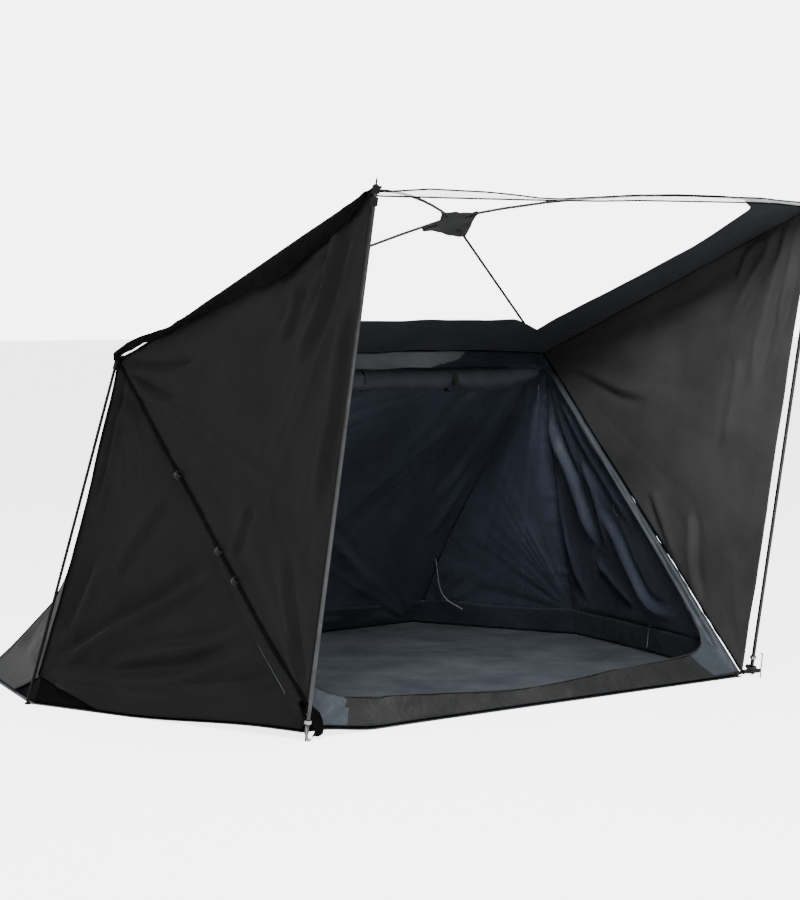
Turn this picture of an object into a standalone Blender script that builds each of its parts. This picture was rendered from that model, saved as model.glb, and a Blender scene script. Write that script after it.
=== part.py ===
"""Wedge tent with a hub frame: a six-sided floor, sloping walls up to a low ridge, and a
clear-topped awning that rises from the ridge to two tall front poles.

Metres, +Z up, the door faces -Y, and the origin is the middle of the floor's underside.
"""

import bmesh
import bpy
from mathutils import Matrix, Vector

# Main points of the tent, right-hand side. The left-hand side is the mirror image.
FRONT_X = 1.200
FRONT_Y = -1.075
SIDE_X = 1.505
SIDE_Y = 0.241
REAR_X = 1.213
REAR_Y = 1.075
RIDGE_X = 1.157
RIDGE_Y = 0.122
RIDGE_Z = 1.327
TOP_X = 1.178
TOP_Y = -1.438
TOP_Z = 1.957

# Cloth
CLOTH = 0.006
GAP = 0.00015
CLIP = 0.012
FLOOR_THICK = 0.010
HEM_Z = 0.013
HEM_RAISED = 0.110
TUB_Z = 0.125
TUB_THICK = 0.005
SILL_Z = 0.090
DOOR_INSET = 0.0118
AWNING_BACK = {"left": 0.0, "right": 0.046}
EDGE_TOP = 0.035
EDGE_FOOT = 0.120
ROLL_RADIUS = 0.045
ROLL_HALF = 1.040
POLE_STANDOFF = 0.0145

# Roof: the cloth border round the clear film
BORDER_X = 0.875
BORDER_Y = -0.250
HEM_WIDTH = 0.022
EAVE_HEM = 0.030
CORNER = 0.095

# Frame
HUB = Vector((-0.010, -0.545, 1.895))
HUB_RADIUS = 0.040
HUB_HALF = 0.013
PAD_X = 0.098
PAD_Y = 0.066
PAD_STEP = 0.011
PAD_LEAN = -0.185
PAD_TWIST = 0.270
ROOF_POLE_RADIUS = 0.0055
LEG_RADIUS = 0.0060
FRONT_POLE_RADIUS = 0.0080
ELBOW_RADIUS = 0.0095
ELBOW_REACH = 0.034
RISE = {"front_left": 0.025, "front_right": 0.060, "rear_left": 0.030, "rear_right": 0.0}
RING_Z = 0.072
SHOE_RADIUS = 0.0110
SHOE_STANDOFF = 0.0114
PEG = Vector((1.150, -1.185, 0.0005))

SIDES = (("left", -1.0), ("right", 1.0))


def clear_scene():
    for thing in list(bpy.data.objects):
        bpy.data.objects.remove(thing, do_unlink=True)


def new_collection(name):
    collection = bpy.data.collections.new(name)
    bpy.context.scene.collection.children.link(collection)
    return collection


def material(name, colour, roughness, metallic=0.0):
    result = bpy.data.materials.new(name)
    result.use_nodes = True
    shader = result.node_tree.nodes["Principled BSDF"]
    shader.inputs["Base Color"].default_value = (*colour, 1.0)
    shader.inputs["Roughness"].default_value = roughness
    shader.inputs["Metallic"].default_value = metallic
    result.diffuse_color = (*colour, 1.0)
    return result


def add(name, mesh_source, look):
    """Turns a bmesh into a named object with its faces pointing outwards."""
    bmesh.ops.recalc_face_normals(mesh_source, faces=mesh_source.faces)
    mesh = bpy.data.meshes.new(name)
    mesh_source.to_mesh(mesh)
    mesh_source.free()
    mesh.materials.append(look)
    thing = bpy.data.objects.new(name, mesh)
    PARTS.objects.link(thing)
    return thing


def meet(planes):
    """The point where three planes (point, normal) meet."""
    (p1, n1), (p2, n2), (p3, n3) = planes
    across = n2.cross(n3)
    total = across * p1.dot(n1) + n3.cross(n1) * p2.dot(n2) + n1.cross(n2) * p3.dot(n3)
    return total / n1.dot(across)


def loft(name, rings, look):
    """A closed solid through rings of the same number of points."""
    source = bmesh.new()
    rows = [[source.verts.new(point) for point in ring] for ring in rings]
    count = len(rows[0])
    for low, high in zip(rows, rows[1:]):
        for i in range(count):
            j = (i + 1) % count
            source.faces.new((low[i], low[j], high[j], high[i]))
    source.faces.new(rows[0])
    source.faces.new(rows[-1][::-1])
    return add(name, source, look)


def face_normal(a, b, c):
    return (b - a).cross(c - a).normalized()


def clip_corner(corners, leans, outward, i, size):
    """Cuts corner i off square, so that it stays clear of the other panels there."""
    here = corners[i]
    before = here + (corners[i - 1] - here).normalized() * size
    after = here + (corners[(i + 1) % len(corners)] - here).normalized() * size
    corners[i : i + 1] = [before, after]
    leans.insert(i, -outward)


def panel(name, corners, outward, leans, look, thick=CLOTH, gap=GAP):
    """A flat cloth panel. Its outer face has these corners. leans[i] is the way the side
    along corners[i] to corners[i + 1] runs through the cloth."""
    corners = list(corners)
    leans = list(leans)
    for i in reversed(range(len(corners))):
        if min((corners[i] - point).length for point in SHARP) < 0.02:
            clip_corner(corners, leans, outward, i, CLIP)
    count = len(corners)
    turning = sum((corners[i - 1].cross(corners[i]) for i in range(count)), Vector())
    hand = 1.0 if turning.dot(outward) > 0 else -1.0
    sides = []
    for i in range(count):
        along = corners[(i + 1) % count] - corners[i]
        normal = along.cross(leans[i]).normalized()
        if normal.dot(outward.cross(along)) * hand > 0:
            normal = -normal
        sides.append((corners[i] - normal * gap, normal))
    rings = []
    for depth in (0.0, thick):
        level = (corners[0] - outward * depth, outward)
        rings.append([meet((level, sides[i - 1], sides[i])) for i in range(count)])
    return loft(name, rings, look)


def rod(name, points, radii, look, sides=3):
    """A round bar through points, with one radius or a radius at each point."""
    if not isinstance(radii, (list, tuple)):
        radii = [radii] * len(points)
    curve = bpy.data.curves.new(name, "CURVE")
    curve.dimensions = "3D"
    curve.bevel_depth = 1.0
    curve.bevel_resolution = sides
    curve.use_fill_caps = True
    curve.twist_mode = "MINIMUM"
    spline = curve.splines.new("POLY")
    spline.points.add(len(points) - 1)
    for knot, point, radius in zip(spline.points, points, radii):
        knot.co = (*point, 1.0)
        knot.radius = radius
    curve.materials.append(look)
    thing = bpy.data.objects.new(name, curve)
    PARTS.objects.link(thing)
    return thing


def collar(name, centre, along, inner, outer, height, look, count=16):
    """A ring round a bar."""
    turn = along.to_track_quat("Z", "Y")
    source = bmesh.new()
    loops = []
    for radius, z in ((inner, -1), (outer, -1), (outer, 1), (inner, 1)):
        seed = bmesh.ops.create_circle(source, segments=count, radius=radius)["verts"]
        for corner in seed:
            corner.co = centre + turn @ (corner.co + Vector((0, 0, z * height / 2)))
        loops.append(seed)
    for one, two in zip(loops, loops[1:] + loops[:1]):
        for i in range(count):
            j = (i + 1) % count
            source.faces.new((one[i], one[j], two[j], two[i]))
    return add(name, source, look)


def block(name, centre, size, axes, look):
    """A box with its three edge directions given."""
    source = bmesh.new()
    bmesh.ops.create_cube(source, size=1.0)
    for corner in source.verts:
        local = corner.co.copy()
        corner.co = centre + sum((axes[i] * local[i] * size[i] for i in range(3)), Vector())
    return add(name, source, look)


def flat(point, z):
    return Vector((point.x, point.y, z))


clear_scene()
PARTS = new_collection("wedge_tent")

CLOTH_DARK = material("cloth_dark", (0.030, 0.031, 0.034), 0.80)
CLOTH_GREY = material("cloth_grey", (0.085, 0.086, 0.090), 0.78)
CLOTH_NAVY = material("cloth_navy", (0.026, 0.032, 0.050), 0.70)
FLOOR_CLOTH = material("floor_cloth", (0.115, 0.125, 0.145), 0.60)
FILM = material("clear_film", (0.78, 0.80, 0.82), 0.15)
STEEL = material("steel", (0.42, 0.42, 0.43), 0.32, 1.0)
GLASS_FIBRE = material("pole_black", (0.015, 0.015, 0.016), 0.45)
PLASTIC = material("plastic_black", (0.020, 0.020, 0.022), 0.55)
WEBBING = material("webbing_black", (0.018, 0.018, 0.020), 0.85)

UP = Vector((0.0, 0.0, 1.0))
BACK = Vector((0.0, 1.0, 0.0))
RIGHT = Vector((1.0, 0.0, 0.0))


def named_points(side):
    """The main points of one side, with side -1 for left and 1 for right."""
    return {
        "front": Vector((side * FRONT_X, FRONT_Y, 0.0)),
        "side": Vector((side * SIDE_X, SIDE_Y, 0.0)),
        "rear": Vector((side * REAR_X, REAR_Y, 0.0)),
        "ridge": Vector((side * RIDGE_X, RIDGE_Y, RIDGE_Z)),
        "top": Vector((side * TOP_X, TOP_Y, TOP_Z)),
    }


def side_normals(p, side):
    """Outward normals of the three wall panels of one side, and of its awning panel."""
    found = {
        "low": face_normal(p["front"], p["side"], p["ridge"]),
        "rear": face_normal(p["side"], p["rear"], p["ridge"]),
        "awning": face_normal(p["top"], p["front"], p["ridge"]),
    }
    for key, normal in found.items():
        if normal.x * side < 0:
            found[key] = -normal
    return found


P_LEFT = named_points(-1.0)
P_RIGHT = named_points(1.0)
SHARP = [P_LEFT["ridge"], P_RIGHT["ridge"]]
ROOF_N = face_normal(P_LEFT["top"], P_RIGHT["top"], P_RIGHT["ridge"])
if ROOF_N.z < 0:
    ROOF_N = -ROOF_N
BACK_N = face_normal(P_LEFT["rear"], P_RIGHT["rear"], P_RIGHT["ridge"])
if BACK_N.y < 0:
    BACK_N = -BACK_N
DOOR_N = face_normal(P_LEFT["front"], P_RIGHT["front"], P_RIGHT["ridge"])
if DOOR_N.y > 0:
    DOOR_N = -DOOR_N


def at_height(low, high, z):
    return low.lerp(high, (z - low.z) / (high.z - low.z))


def roof_point(x, y):
    """The point of the roof's outer face over this plan position."""
    level = (P_LEFT["top"], ROOF_N)
    return meet((level, (Vector((x, 0, 0)), RIGHT), (Vector((0, y, 0)), BACK)))


def cloth_walls(word, side, p, n):
    """The four panels of one side, from the front pole round to the back wall."""
    inward_low = Vector((-n["low"].x, -n["low"].y, 0.0))
    inward_rear = Vector((-n["rear"].x, -n["rear"].y, 0.0))
    front_low = at_height(p["front"], p["ridge"], HEM_Z)
    turn = flat(p["side"].lerp(p["front"], 0.26), HEM_Z)
    turn = meet(((p["ridge"], n["low"]), (Vector((0, turn.y, 0)), BACK), (turn, UP)))
    leg_low = at_height(p["side"], p["ridge"], HEM_RAISED)
    rear_low = at_height(p["rear"], p["ridge"], HEM_Z)
    rear_turn = flat(p["side"].lerp(p["rear"], 0.35), HEM_Z)
    rear_turn = meet(((p["ridge"], n["rear"]), (Vector((0, rear_turn.y, 0)), BACK), (rear_turn, UP)))
    panel(
        "side_panel_" + word,
        [front_low, turn, leg_low, p["ridge"]],
        n["low"],
        [inward_low, inward_low, -(n["low"] + n["rear"]), -(n["low"] + n["awning"])],
        CLOTH_DARK,
    )
    panel(
        "rear_side_panel_" + word,
        [leg_low, rear_turn, rear_low, p["ridge"]],
        n["rear"],
        [inward_rear, inward_rear, -(n["rear"] + BACK_N), -(n["low"] + n["rear"])],
        CLOTH_GREY,
    )
    front_foot = at_height(p["front"], p["top"], HEM_Z + 0.012)
    edge = [p["top"], front_foot]
    if AWNING_BACK[word]:
        edge = [p["top"], p["top"].lerp(p["front"], 0.045), p["front"].lerp(p["ridge"], AWNING_BACK[word])]
    panel(
        "awning_panel_" + word,
        [*edge, p["ridge"]],
        n["awning"],
        [-n["awning"]] * (len(edge) - 1) + [-(n["low"] + n["awning"]), -(n["awning"] + ROOF_N)],
        CLOTH_DARK if side < 0 else CLOTH_GREY,
    )


def back_wall():
    """The back wall, two triangles with a slanting seam between them."""
    left_low = at_height(P_LEFT["rear"], P_LEFT["ridge"], HEM_Z)
    right_low = at_height(P_RIGHT["rear"], P_RIGHT["ridge"], HEM_Z)
    n_left = side_normals(P_LEFT, -1.0)["rear"]
    n_right = side_normals(P_RIGHT, 1.0)["rear"]
    panel(
        "back_panel_lower",
        [left_low, right_low, P_LEFT["ridge"]],
        BACK_N,
        [-BACK, -BACK_N, -(BACK_N + n_left)],
        CLOTH_NAVY,
    )
    panel(
        "back_panel_upper",
        [P_LEFT["ridge"], right_low, P_RIGHT["ridge"]],
        BACK_N,
        [-BACK_N, -(BACK_N + n_right), -(BACK_N + ROOF_N)],
        CLOTH_NAVY,
    )


def eave_x(y):
    """How far each eave is from the middle plane, at this place front to back."""
    return RIDGE_X + (TOP_X - RIDGE_X) * (RIDGE_Y - y) / (RIDGE_Y - TOP_Y)


def roof():
    """The clear film and the cloth round it: a hem on the left, a broad border on the right."""
    front = TOP_Y + HEM_WIDTH
    n_left = side_normals(P_LEFT, -1.0)["awning"]
    n_right = side_normals(P_RIGHT, 1.0)["awning"]
    panel(
        "roof_border_rear",
        [
            P_LEFT["ridge"],
            P_RIGHT["ridge"],
            roof_point(eave_x(BORDER_Y), BORDER_Y),
            roof_point(-eave_x(BORDER_Y), BORDER_Y),
        ],
        ROOF_N,
        [-(BACK_N + ROOF_N), -(ROOF_N + n_right), -ROOF_N, -(ROOF_N + n_left)],
        CLOTH_DARK,
    )
    panel(
        "roof_border_left",
        [
            P_LEFT["top"],
            roof_point(-eave_x(BORDER_Y), BORDER_Y),
            roof_point(EAVE_HEM - eave_x(BORDER_Y), BORDER_Y),
            roof_point(EAVE_HEM - TOP_X, TOP_Y),
        ],
        ROOF_N,
        [-(ROOF_N + n_left), -ROOF_N, -ROOF_N, -ROOF_N],
        CLOTH_DARK,
    )
    panel(
        "roof_border_right",
        [
            P_RIGHT["top"],
            roof_point(eave_x(BORDER_Y), BORDER_Y),
            roof_point(BORDER_X, BORDER_Y),
            roof_point(BORDER_X, front + CORNER),
            roof_point(BORDER_X - CORNER, front),
            roof_point(BORDER_X - CORNER, TOP_Y),
        ],
        ROOF_N,
        [-(ROOF_N + n_right), -ROOF_N, -ROOF_N, -ROOF_N, -ROOF_N, -ROOF_N],
        CLOTH_DARK,
    )
    panel(
        "roof_border_front",
        [
            roof_point(EAVE_HEM - TOP_X, TOP_Y),
            roof_point(BORDER_X - CORNER, TOP_Y),
            roof_point(BORDER_X - CORNER, front),
            roof_point(EAVE_HEM - eave_x(front), front),
        ],
        ROOF_N,
        [-ROOF_N] * 4,
        CLOTH_DARK,
    )
    panel(
        "roof_film",
        [
            roof_point(EAVE_HEM - eave_x(front), front),
            roof_point(BORDER_X - CORNER, front),
            roof_point(BORDER_X, front + CORNER),
            roof_point(BORDER_X, BORDER_Y),
            roof_point(EAVE_HEM - eave_x(BORDER_Y), BORDER_Y),
        ],
        ROOF_N,
        [-ROOF_N] * 5,
        FILM,
        thick=CLOTH * 0.5,
    )


def meet_line(one, two, shift):
    """The upright plane between two walls, kept a hair off, on the second wall's side."""
    split = (one[1] - two[1]).normalized()
    first = one[0] - one[1] * shift
    second = two[0] - two[1] * shift
    on_both = meet(((first, one[1]), (second, two[1]), (Vector((0, 0, 0)), UP)))
    return (on_both - split * GAP, split)


def floor_and_tub():
    """The floor sheet and the low wall that stands up from its edge on five sides."""
    outline = [
        P_LEFT["front"],
        P_LEFT["side"],
        P_LEFT["rear"],
        P_RIGHT["rear"],
        P_RIGHT["side"],
        P_RIGHT["front"],
    ]
    low = [flat(point, 0.0) for point in outline]
    high = [flat(point, FLOOR_THICK) for point in outline]
    loft("floor", [low, high], FLOOR_CLOTH)
    n_left = side_normals(P_LEFT, -1.0)
    n_right = side_normals(P_RIGHT, 1.0)
    walls = [
        (P_LEFT["ridge"], n_left["low"]),
        (P_LEFT["ridge"], n_left["rear"]),
        (P_LEFT["ridge"], BACK_N),
        (P_RIGHT["ridge"], n_right["rear"]),
        (P_RIGHT["ridge"], n_right["low"]),
    ]
    base = (Vector((0, 0, FLOOR_THICK + 2 * GAP)), UP)
    top = (Vector((0, 0, TUB_Z)), UP)
    start = (Vector((0.0, FRONT_Y + 0.060, 0.0)), -BACK)
    words = ("left", "rear_left", "rear", "rear_right", "right")
    for i, word in enumerate(words):
        rings = []
        for near, far, sign in ((i - 1, i, -1.0), (i + 1, i, 1.0)):
            ring = []
            for depth in (0.0, 1.0):
                shift = CLOTH + 2 * GAP + depth * TUB_THICK
                own = (walls[far][0] - walls[far][1] * shift, walls[far][1])
                if 0 <= near < len(walls):
                    corner = meet_line(walls[near], walls[far], shift)
                else:
                    corner = start
                for level in (base, top) if depth == 0.0 else (top, base):
                    ring.append(meet((own, corner, level)))
            rings.append(ring)
        loft("tub_" + word, rings, CLOTH_NAVY)


def door():
    """The door opening's cloth edges, its sill, and the door rolled up under the ridge."""
    side_in = DOOR_INSET
    top_z = RIDGE_Z - 0.0105
    band_z = RIDGE_Z - 0.070

    def on_edge(side, z, inset):
        p = named_points(side)
        point = at_height(p["front"], p["ridge"], z)
        return point - RIGHT * side * inset

    panel(
        "door_sill",
        [
            on_edge(-1.0, HEM_Z, side_in),
            on_edge(1.0, HEM_Z, side_in),
            on_edge(1.0, SILL_Z, side_in),
            on_edge(-1.0, SILL_Z, side_in),
        ],
        DOOR_N,
        [BACK, -DOOR_N, -DOOR_N, -DOOR_N],
        CLOTH_DARK,
    )
    for word, side in SIDES:
        panel(
            "door_edge_" + word,
            [
                on_edge(side, SILL_Z, side_in),
                on_edge(side, SILL_Z, side_in + EDGE_FOOT),
                on_edge(side, band_z, side_in + EDGE_TOP),
                on_edge(side, band_z, side_in),
            ],
            DOOR_N,
            [-DOOR_N] * 4,
            CLOTH_DARK,
        )
    panel(
        "door_band",
        [
            on_edge(-1.0, band_z, side_in),
            on_edge(1.0, band_z, side_in),
            on_edge(1.0, top_z, side_in),
            on_edge(-1.0, top_z, side_in),
        ],
        DOOR_N,
        [-DOOR_N] * 4,
        CLOTH_GREY,
    )
    lip = at_height(P_RIGHT["front"], P_RIGHT["ridge"], band_z - 0.001)
    hang = Vector((0.0, -0.30, -0.954))
    lip.x = 0.0

    def roll(share):
        radius = ROLL_RADIUS * (1 - 0.12 * abs(share) - 0.66 * share**6)
        return lip + RIGHT * ROLL_HALF * share + hang * (radius + 0.0040), radius

    stations = [roll(step / 4 - 1) for step in range(9)]
    rod("door_roll", [point for point, _ in stations], [size for _, size in stations], CLOTH_DARK, sides=4)
    for word, side in SIDES:
        centre, radius = roll(side * 0.5)
        collar("door_tie_" + word, centre, RIGHT, radius + 0.0016, radius + 0.0034, 0.022, WEBBING)


def eave_flaps():
    """The loose flap of cloth that hangs outside each eave."""
    for word, side in SIDES:
        p = named_points(side)
        n = side_normals(p, side)["awning"]
        drop = 0.085
        out = n * (CLOTH + 2 * GAP)
        start = p["top"].lerp(p["ridge"], 0.045)
        end = p["top"].lerp(p["ridge"], 0.955)
        corners = [start + out, end + out, end + out - UP * drop, start + out - UP * drop]
        panel("eave_flap_" + word, corners, n, [-n] * 4, CLOTH_DARK)


def pad_point(u, v):
    """A point of the pad's upper face: against the hub, and just under the poles."""
    x = PAD_X * u * (1 - 0.16 * (1 - v * v) * abs(u))
    y = PAD_Y * v * (1 - 0.10 * (1 - u * u) * abs(v))
    radius = (x * x + y * y) ** 0.5
    turn = v / max(abs(u), abs(v), 0.001)
    pole = (PAD_LEAN - PAD_TWIST * turn) * (radius - HUB_RADIUS) - PAD_STEP * turn
    below_pole = pole - ROOF_POLE_RADIUS - 0.0032
    rise = max(0.0, radius - HUB_RADIUS - 0.024) * 0.34
    below_hub = rise - (HUB_HALF + 0.0006 + y * ROOF_N.y) / ROOF_N.z
    return HUB + Vector((x, y, min(below_pole, below_hub)))


def hub():
    """The hub and the small cloth pad under it."""
    source = bmesh.new()
    bmesh.ops.create_cone(
        source,
        cap_ends=True,
        segments=24,
        radius1=HUB_RADIUS,
        radius2=HUB_RADIUS,
        depth=2 * HUB_HALF,
    )
    place = Matrix.Translation(HUB) @ ROOF_N.to_track_quat("Z", "Y").to_matrix().to_4x4()
    bmesh.ops.transform(source, matrix=place, verts=source.verts)
    add("roof_hub", source, PLASTIC)

    source = bmesh.new()
    steps = 8
    rows = {}
    for depth in (0, 1):
        for i in range(steps + 1):
            for j in range(steps + 1):
                point = pad_point(2 * i / steps - 1, 2 * j / steps - 1)
                rows[depth, i, j] = source.verts.new(point - UP * 0.0025 * depth)
    for depth in (0, 1):
        for i in range(steps):
            for j in range(steps):
                source.faces.new(
                    (rows[depth, i, j], rows[depth, i + 1, j], rows[depth, i + 1, j + 1], rows[depth, i, j + 1])
                )
    rim = [(i, 0) for i in range(steps)] + [(steps, j) for j in range(steps)]
    rim += [(i, steps) for i in range(steps, 0, -1)] + [(0, j) for j in range(steps, 0, -1)]
    for one, two in zip(rim, rim[1:] + rim[:1]):
        source.faces.new((rows[0, *one], rows[0, *two], rows[1, *two], rows[1, *one]))
    add("hub_pad", source, CLOTH_GREY)


def roof_pole(name, end, rise):
    """An arched pole from the hub's rim to a roof corner."""
    outward = end - HUB
    outward = (outward - ROOF_N * outward.dot(ROOF_N)).normalized()
    start = HUB + outward * HUB_RADIUS
    first = (start.lerp(end, 1 / 8) + UP * rise * 7 / 16 - start).normalized()
    tilt = (1 - min(1.0, first.dot(outward)) ** 2) ** 0.5
    start += outward * (ROOF_POLE_RADIUS * tilt + 0.0003)
    points = []
    for step in range(9):
        share = step / 8
        point = start.lerp(end, share)
        points.append(point + UP * rise * 4 * share * (1 - share))
    rod(name, points, ROOF_POLE_RADIUS, GLASS_FIBRE)


def frame():
    for word, side in SIDES:
        p = named_points(side)
        n = side_normals(p, side)
        foot = p["front"] - BACK * POLE_STANDOFF
        head = p["top"] - BACK * POLE_STANDOFF
        along = (head - foot).normalized()
        tip = foot.copy()
        marks = [
            (0.0, 0.0035),
            (0.024, 0.0042),
            (0.025, FRONT_POLE_RADIUS),
            ((head - foot).length - 0.004, FRONT_POLE_RADIUS),
            ((head - foot).length - 0.003, 0.0100),
            ((head - foot).length + 0.012, 0.0100),
            ((head - foot).length + 0.013, 0.0035),
            ((head - foot).length + 0.034, 0.0028),
        ]
        start = tip + UP * 0.0006
        points = [start + along * distance for distance, _ in marks]
        rod("front_pole_" + word, points, [radius for _, radius in marks], STEEL)

        ring_at = start + along * RING_Z
        collar("foot_ring_" + word, ring_at, along, FRONT_POLE_RADIUS + 0.0004, 0.0135, 0.012, STEEL)

        bracket_at = head - along * 0.046
        collar("pole_bracket_" + word, bracket_at, along, FRONT_POLE_RADIUS + 0.0004, 0.0140, 0.030, PLASTIC)

        spread = (ROOF_N + n["awning"] + n["low"] + n["rear"] + BACK_N).normalized()
        elbow = p["ridge"] + spread * (ELBOW_RADIUS + 0.0012)
        stand = flat(n["low"] + n["rear"], 0.0).normalized() * SHOE_STANDOFF
        leg_foot = p["side"] + stand + UP * 0.0107
        down = (leg_foot - elbow).normalized()
        towards = (HUB - elbow + UP * 4 * RISE["rear_" + word]).normalized()
        arms = [elbow + towards * ELBOW_REACH, elbow, elbow + down * ELBOW_REACH]
        rod("ridge_elbow_" + word, arms, ELBOW_RADIUS, PLASTIC)

        lift = ROOF_N * (ROOF_POLE_RADIUS + 0.0004)
        front_end = p["top"].lerp(roof_point(0.0, HUB.y), 0.030) + lift
        roof_pole("roof_pole_front_" + word, front_end, RISE["front_" + word])
        roof_pole("roof_pole_rear_" + word, arms[0] + towards * 0.0003, RISE["rear_" + word])
        rod("rear_leg_" + word, [arms[2] + down * 0.0003, leg_foot], LEG_RADIUS, GLASS_FIBRE)
        rod(
            "leg_shoe_" + word,
            [flat(leg_foot, 0.0005), flat(leg_foot, 0.0085)],
            SHOE_RADIUS,
            PLASTIC,
        )


def peg():
    """The angled peg at the right front corner, and the strap that it holds."""
    lean = Vector((0.04, -0.08, 1.0)).normalized()
    top = PEG + lean * 0.100
    hook = Vector((0.5, 0.87, 0.0)) * 0.016
    rod("peg_right", [PEG, top, top + hook], 0.0030, STEEL, sides=2)
    corner = P_RIGHT["front"] + Vector((-0.020, -0.0005, 0.010))
    near = PEG + lean * 0.030
    along = (near - corner).normalized()
    length = (near - corner).length - 0.0052
    across = along.cross(UP).normalized()
    axes = (along, across, along.cross(across))
    block("peg_strap_right", corner + along * length / 2, (length, 0.003, 0.018), axes, WEBBING)


for word, side in SIDES:
    points = named_points(side)
    cloth_walls(word, side, points, side_normals(points, side))
back_wall()
roof()
floor_and_tub()
door()
eave_flaps()
hub()
frame()
peg()
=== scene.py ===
"""Looks of the wedge tent: cloth walls with folds and seams, clear roof film, rolled door,
wrinkled floor, poles and fittings. Metres, +Z up, the door faces -Y."""

import math

import bpy
import numpy as np
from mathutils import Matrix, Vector


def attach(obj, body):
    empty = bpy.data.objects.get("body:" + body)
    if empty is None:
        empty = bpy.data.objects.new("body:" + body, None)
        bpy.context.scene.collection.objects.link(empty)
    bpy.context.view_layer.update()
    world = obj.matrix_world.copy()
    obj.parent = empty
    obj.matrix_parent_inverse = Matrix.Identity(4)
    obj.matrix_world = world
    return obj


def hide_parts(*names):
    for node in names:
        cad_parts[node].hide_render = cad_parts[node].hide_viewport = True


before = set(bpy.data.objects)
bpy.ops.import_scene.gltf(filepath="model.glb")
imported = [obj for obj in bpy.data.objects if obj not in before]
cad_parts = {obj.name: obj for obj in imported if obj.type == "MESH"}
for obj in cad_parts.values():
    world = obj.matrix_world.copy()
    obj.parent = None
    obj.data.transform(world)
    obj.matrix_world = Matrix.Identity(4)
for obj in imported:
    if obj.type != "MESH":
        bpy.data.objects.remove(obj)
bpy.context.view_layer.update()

# Main points of the tent, as in the CAD model. Index 0 is the left side, 1 the right side.
FRONT = np.array([[-1.200, -1.075, 0.0], [1.200, -1.075, 0.0]])
SIDE = np.array([[-1.505, 0.241, 0.0], [1.505, 0.241, 0.0]])
REAR = np.array([[-1.213, 1.075, 0.0], [1.213, 1.075, 0.0]])
RIDGE = np.array([[-1.157, 0.122, 1.327], [1.157, 0.122, 1.327]])
TOP = np.array([[-1.178, -1.438, 1.957], [1.178, -1.438, 1.957]])
LEFT, RIGHT = 0, 1
WORDS = ("left", "right")
SIGN = (-1.0, 1.0)

CLOTH = 0.0012
STEP = 0.016
HEM_Z = 0.012
HEM_RAISED = 0.110
TUB_Z = 0.125
BORDER_X = 0.875
BORDER_Y = -0.250
FLOOR_TOP = 0.010


# Vectors


def unit(vector):
    return vector / np.linalg.norm(vector)


def normal_of(a, b, c, towards):
    found = unit(np.cross(b - a, c - a))
    return found if found @ towards > 0 else -found


def at_height(low, high, z):
    return low + (high - low) * (z - low[2]) / (high[2] - low[2])


def lerp(a, b, share):
    return a + (b - a) * share


def smooth(low, high, value):
    share = np.clip((value - low) / (high - low), 0.0, 1.0)
    return share * share * (3 - 2 * share)


OUT = [np.array([-1.0, 0.0, 0.3]), np.array([1.0, 0.0, 0.3])]
N_LOW = [normal_of(FRONT[s], SIDE[s], RIDGE[s], OUT[s]) for s in (0, 1)]
N_REAR = [normal_of(SIDE[s], REAR[s], RIDGE[s], OUT[s]) for s in (0, 1)]
N_AWNING = [normal_of(TOP[s], FRONT[s], RIDGE[s], OUT[s]) for s in (0, 1)]
N_ROOF = normal_of(TOP[0], TOP[1], RIDGE[1], np.array([0.0, 0.0, 1.0]))
N_BACK = normal_of(REAR[0], REAR[1], RIDGE[1], np.array([0.0, 1.0, 0.0]))
N_DOOR = normal_of(FRONT[0], FRONT[1], RIDGE[1], np.array([0.0, -1.0, 0.0]))


# Repeatable noise


def scatter(a, b, seed):
    """A number from -1 to 1 for each pair of whole numbers."""
    mixed = (a.astype(np.int64) * 374761393 + b.astype(np.int64) * 668265263 + seed * 69069) & 0xFFFFFFFF
    mixed = ((mixed ^ (mixed >> 13)) * 1274126177) & 0xFFFFFFFF
    return (mixed ^ (mixed >> 16)) / 2**31 - 1.0


def noise(x, y, seed):
    """Smooth noise from -1 to 1 with one bump a unit."""
    x0, y0 = np.floor(x), np.floor(y)
    fx, fy = smooth(0, 1, x - x0), smooth(0, 1, y - y0)
    low = scatter(x0, y0, seed) * (1 - fx) + scatter(x0 + 1, y0, seed) * fx
    high = scatter(x0, y0 + 1, seed) * (1 - fx) + scatter(x0 + 1, y0 + 1, seed) * fx
    return low * (1 - fy) + high * fy


def drift(points):
    """The small wander that all cloth shares, so that neighbours still meet at their seams."""
    x, y, z = points.T
    wander = [
        noise(y * 5 + 7, z * 5, 3) + 0.5 * noise(y * 13, z * 13 + 5, 4),
        noise(x * 5, z * 5 + 9, 5) + 0.5 * noise(x * 13 + 3, z * 13, 6),
        noise(x * 5 + 4, y * 5, 7) + 0.5 * noise(x * 13, y * 13 + 2, 8),
    ]
    amount = 0.0022 * smooth(0.0, 0.12, z)
    return np.stack([wander[0] * amount, wander[1] * amount, 0.6 * wander[2] * amount], -1)


PULL = np.array([-0.085, -0.045, 0.0])
PULL_REACH = 1.788


def pull_corner(points):
    """The cloth's right front corner lies a little inside the pole's foot, tied to it by a strap."""
    away = np.linalg.norm(points - FRONT[1], axis=1)
    behind = points[:, 1] - FRONT[1][1] - points[:, 2] * (RIDGE[1][1] - FRONT[1][1]) / RIDGE[1][2]
    share = np.clip(1 - away / PULL_REACH, 0.0, 1.0) * smooth(1.1, 0.2, behind)
    return points + share[:, None] * PULL


CORNER_LIFT = 0.028


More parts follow.
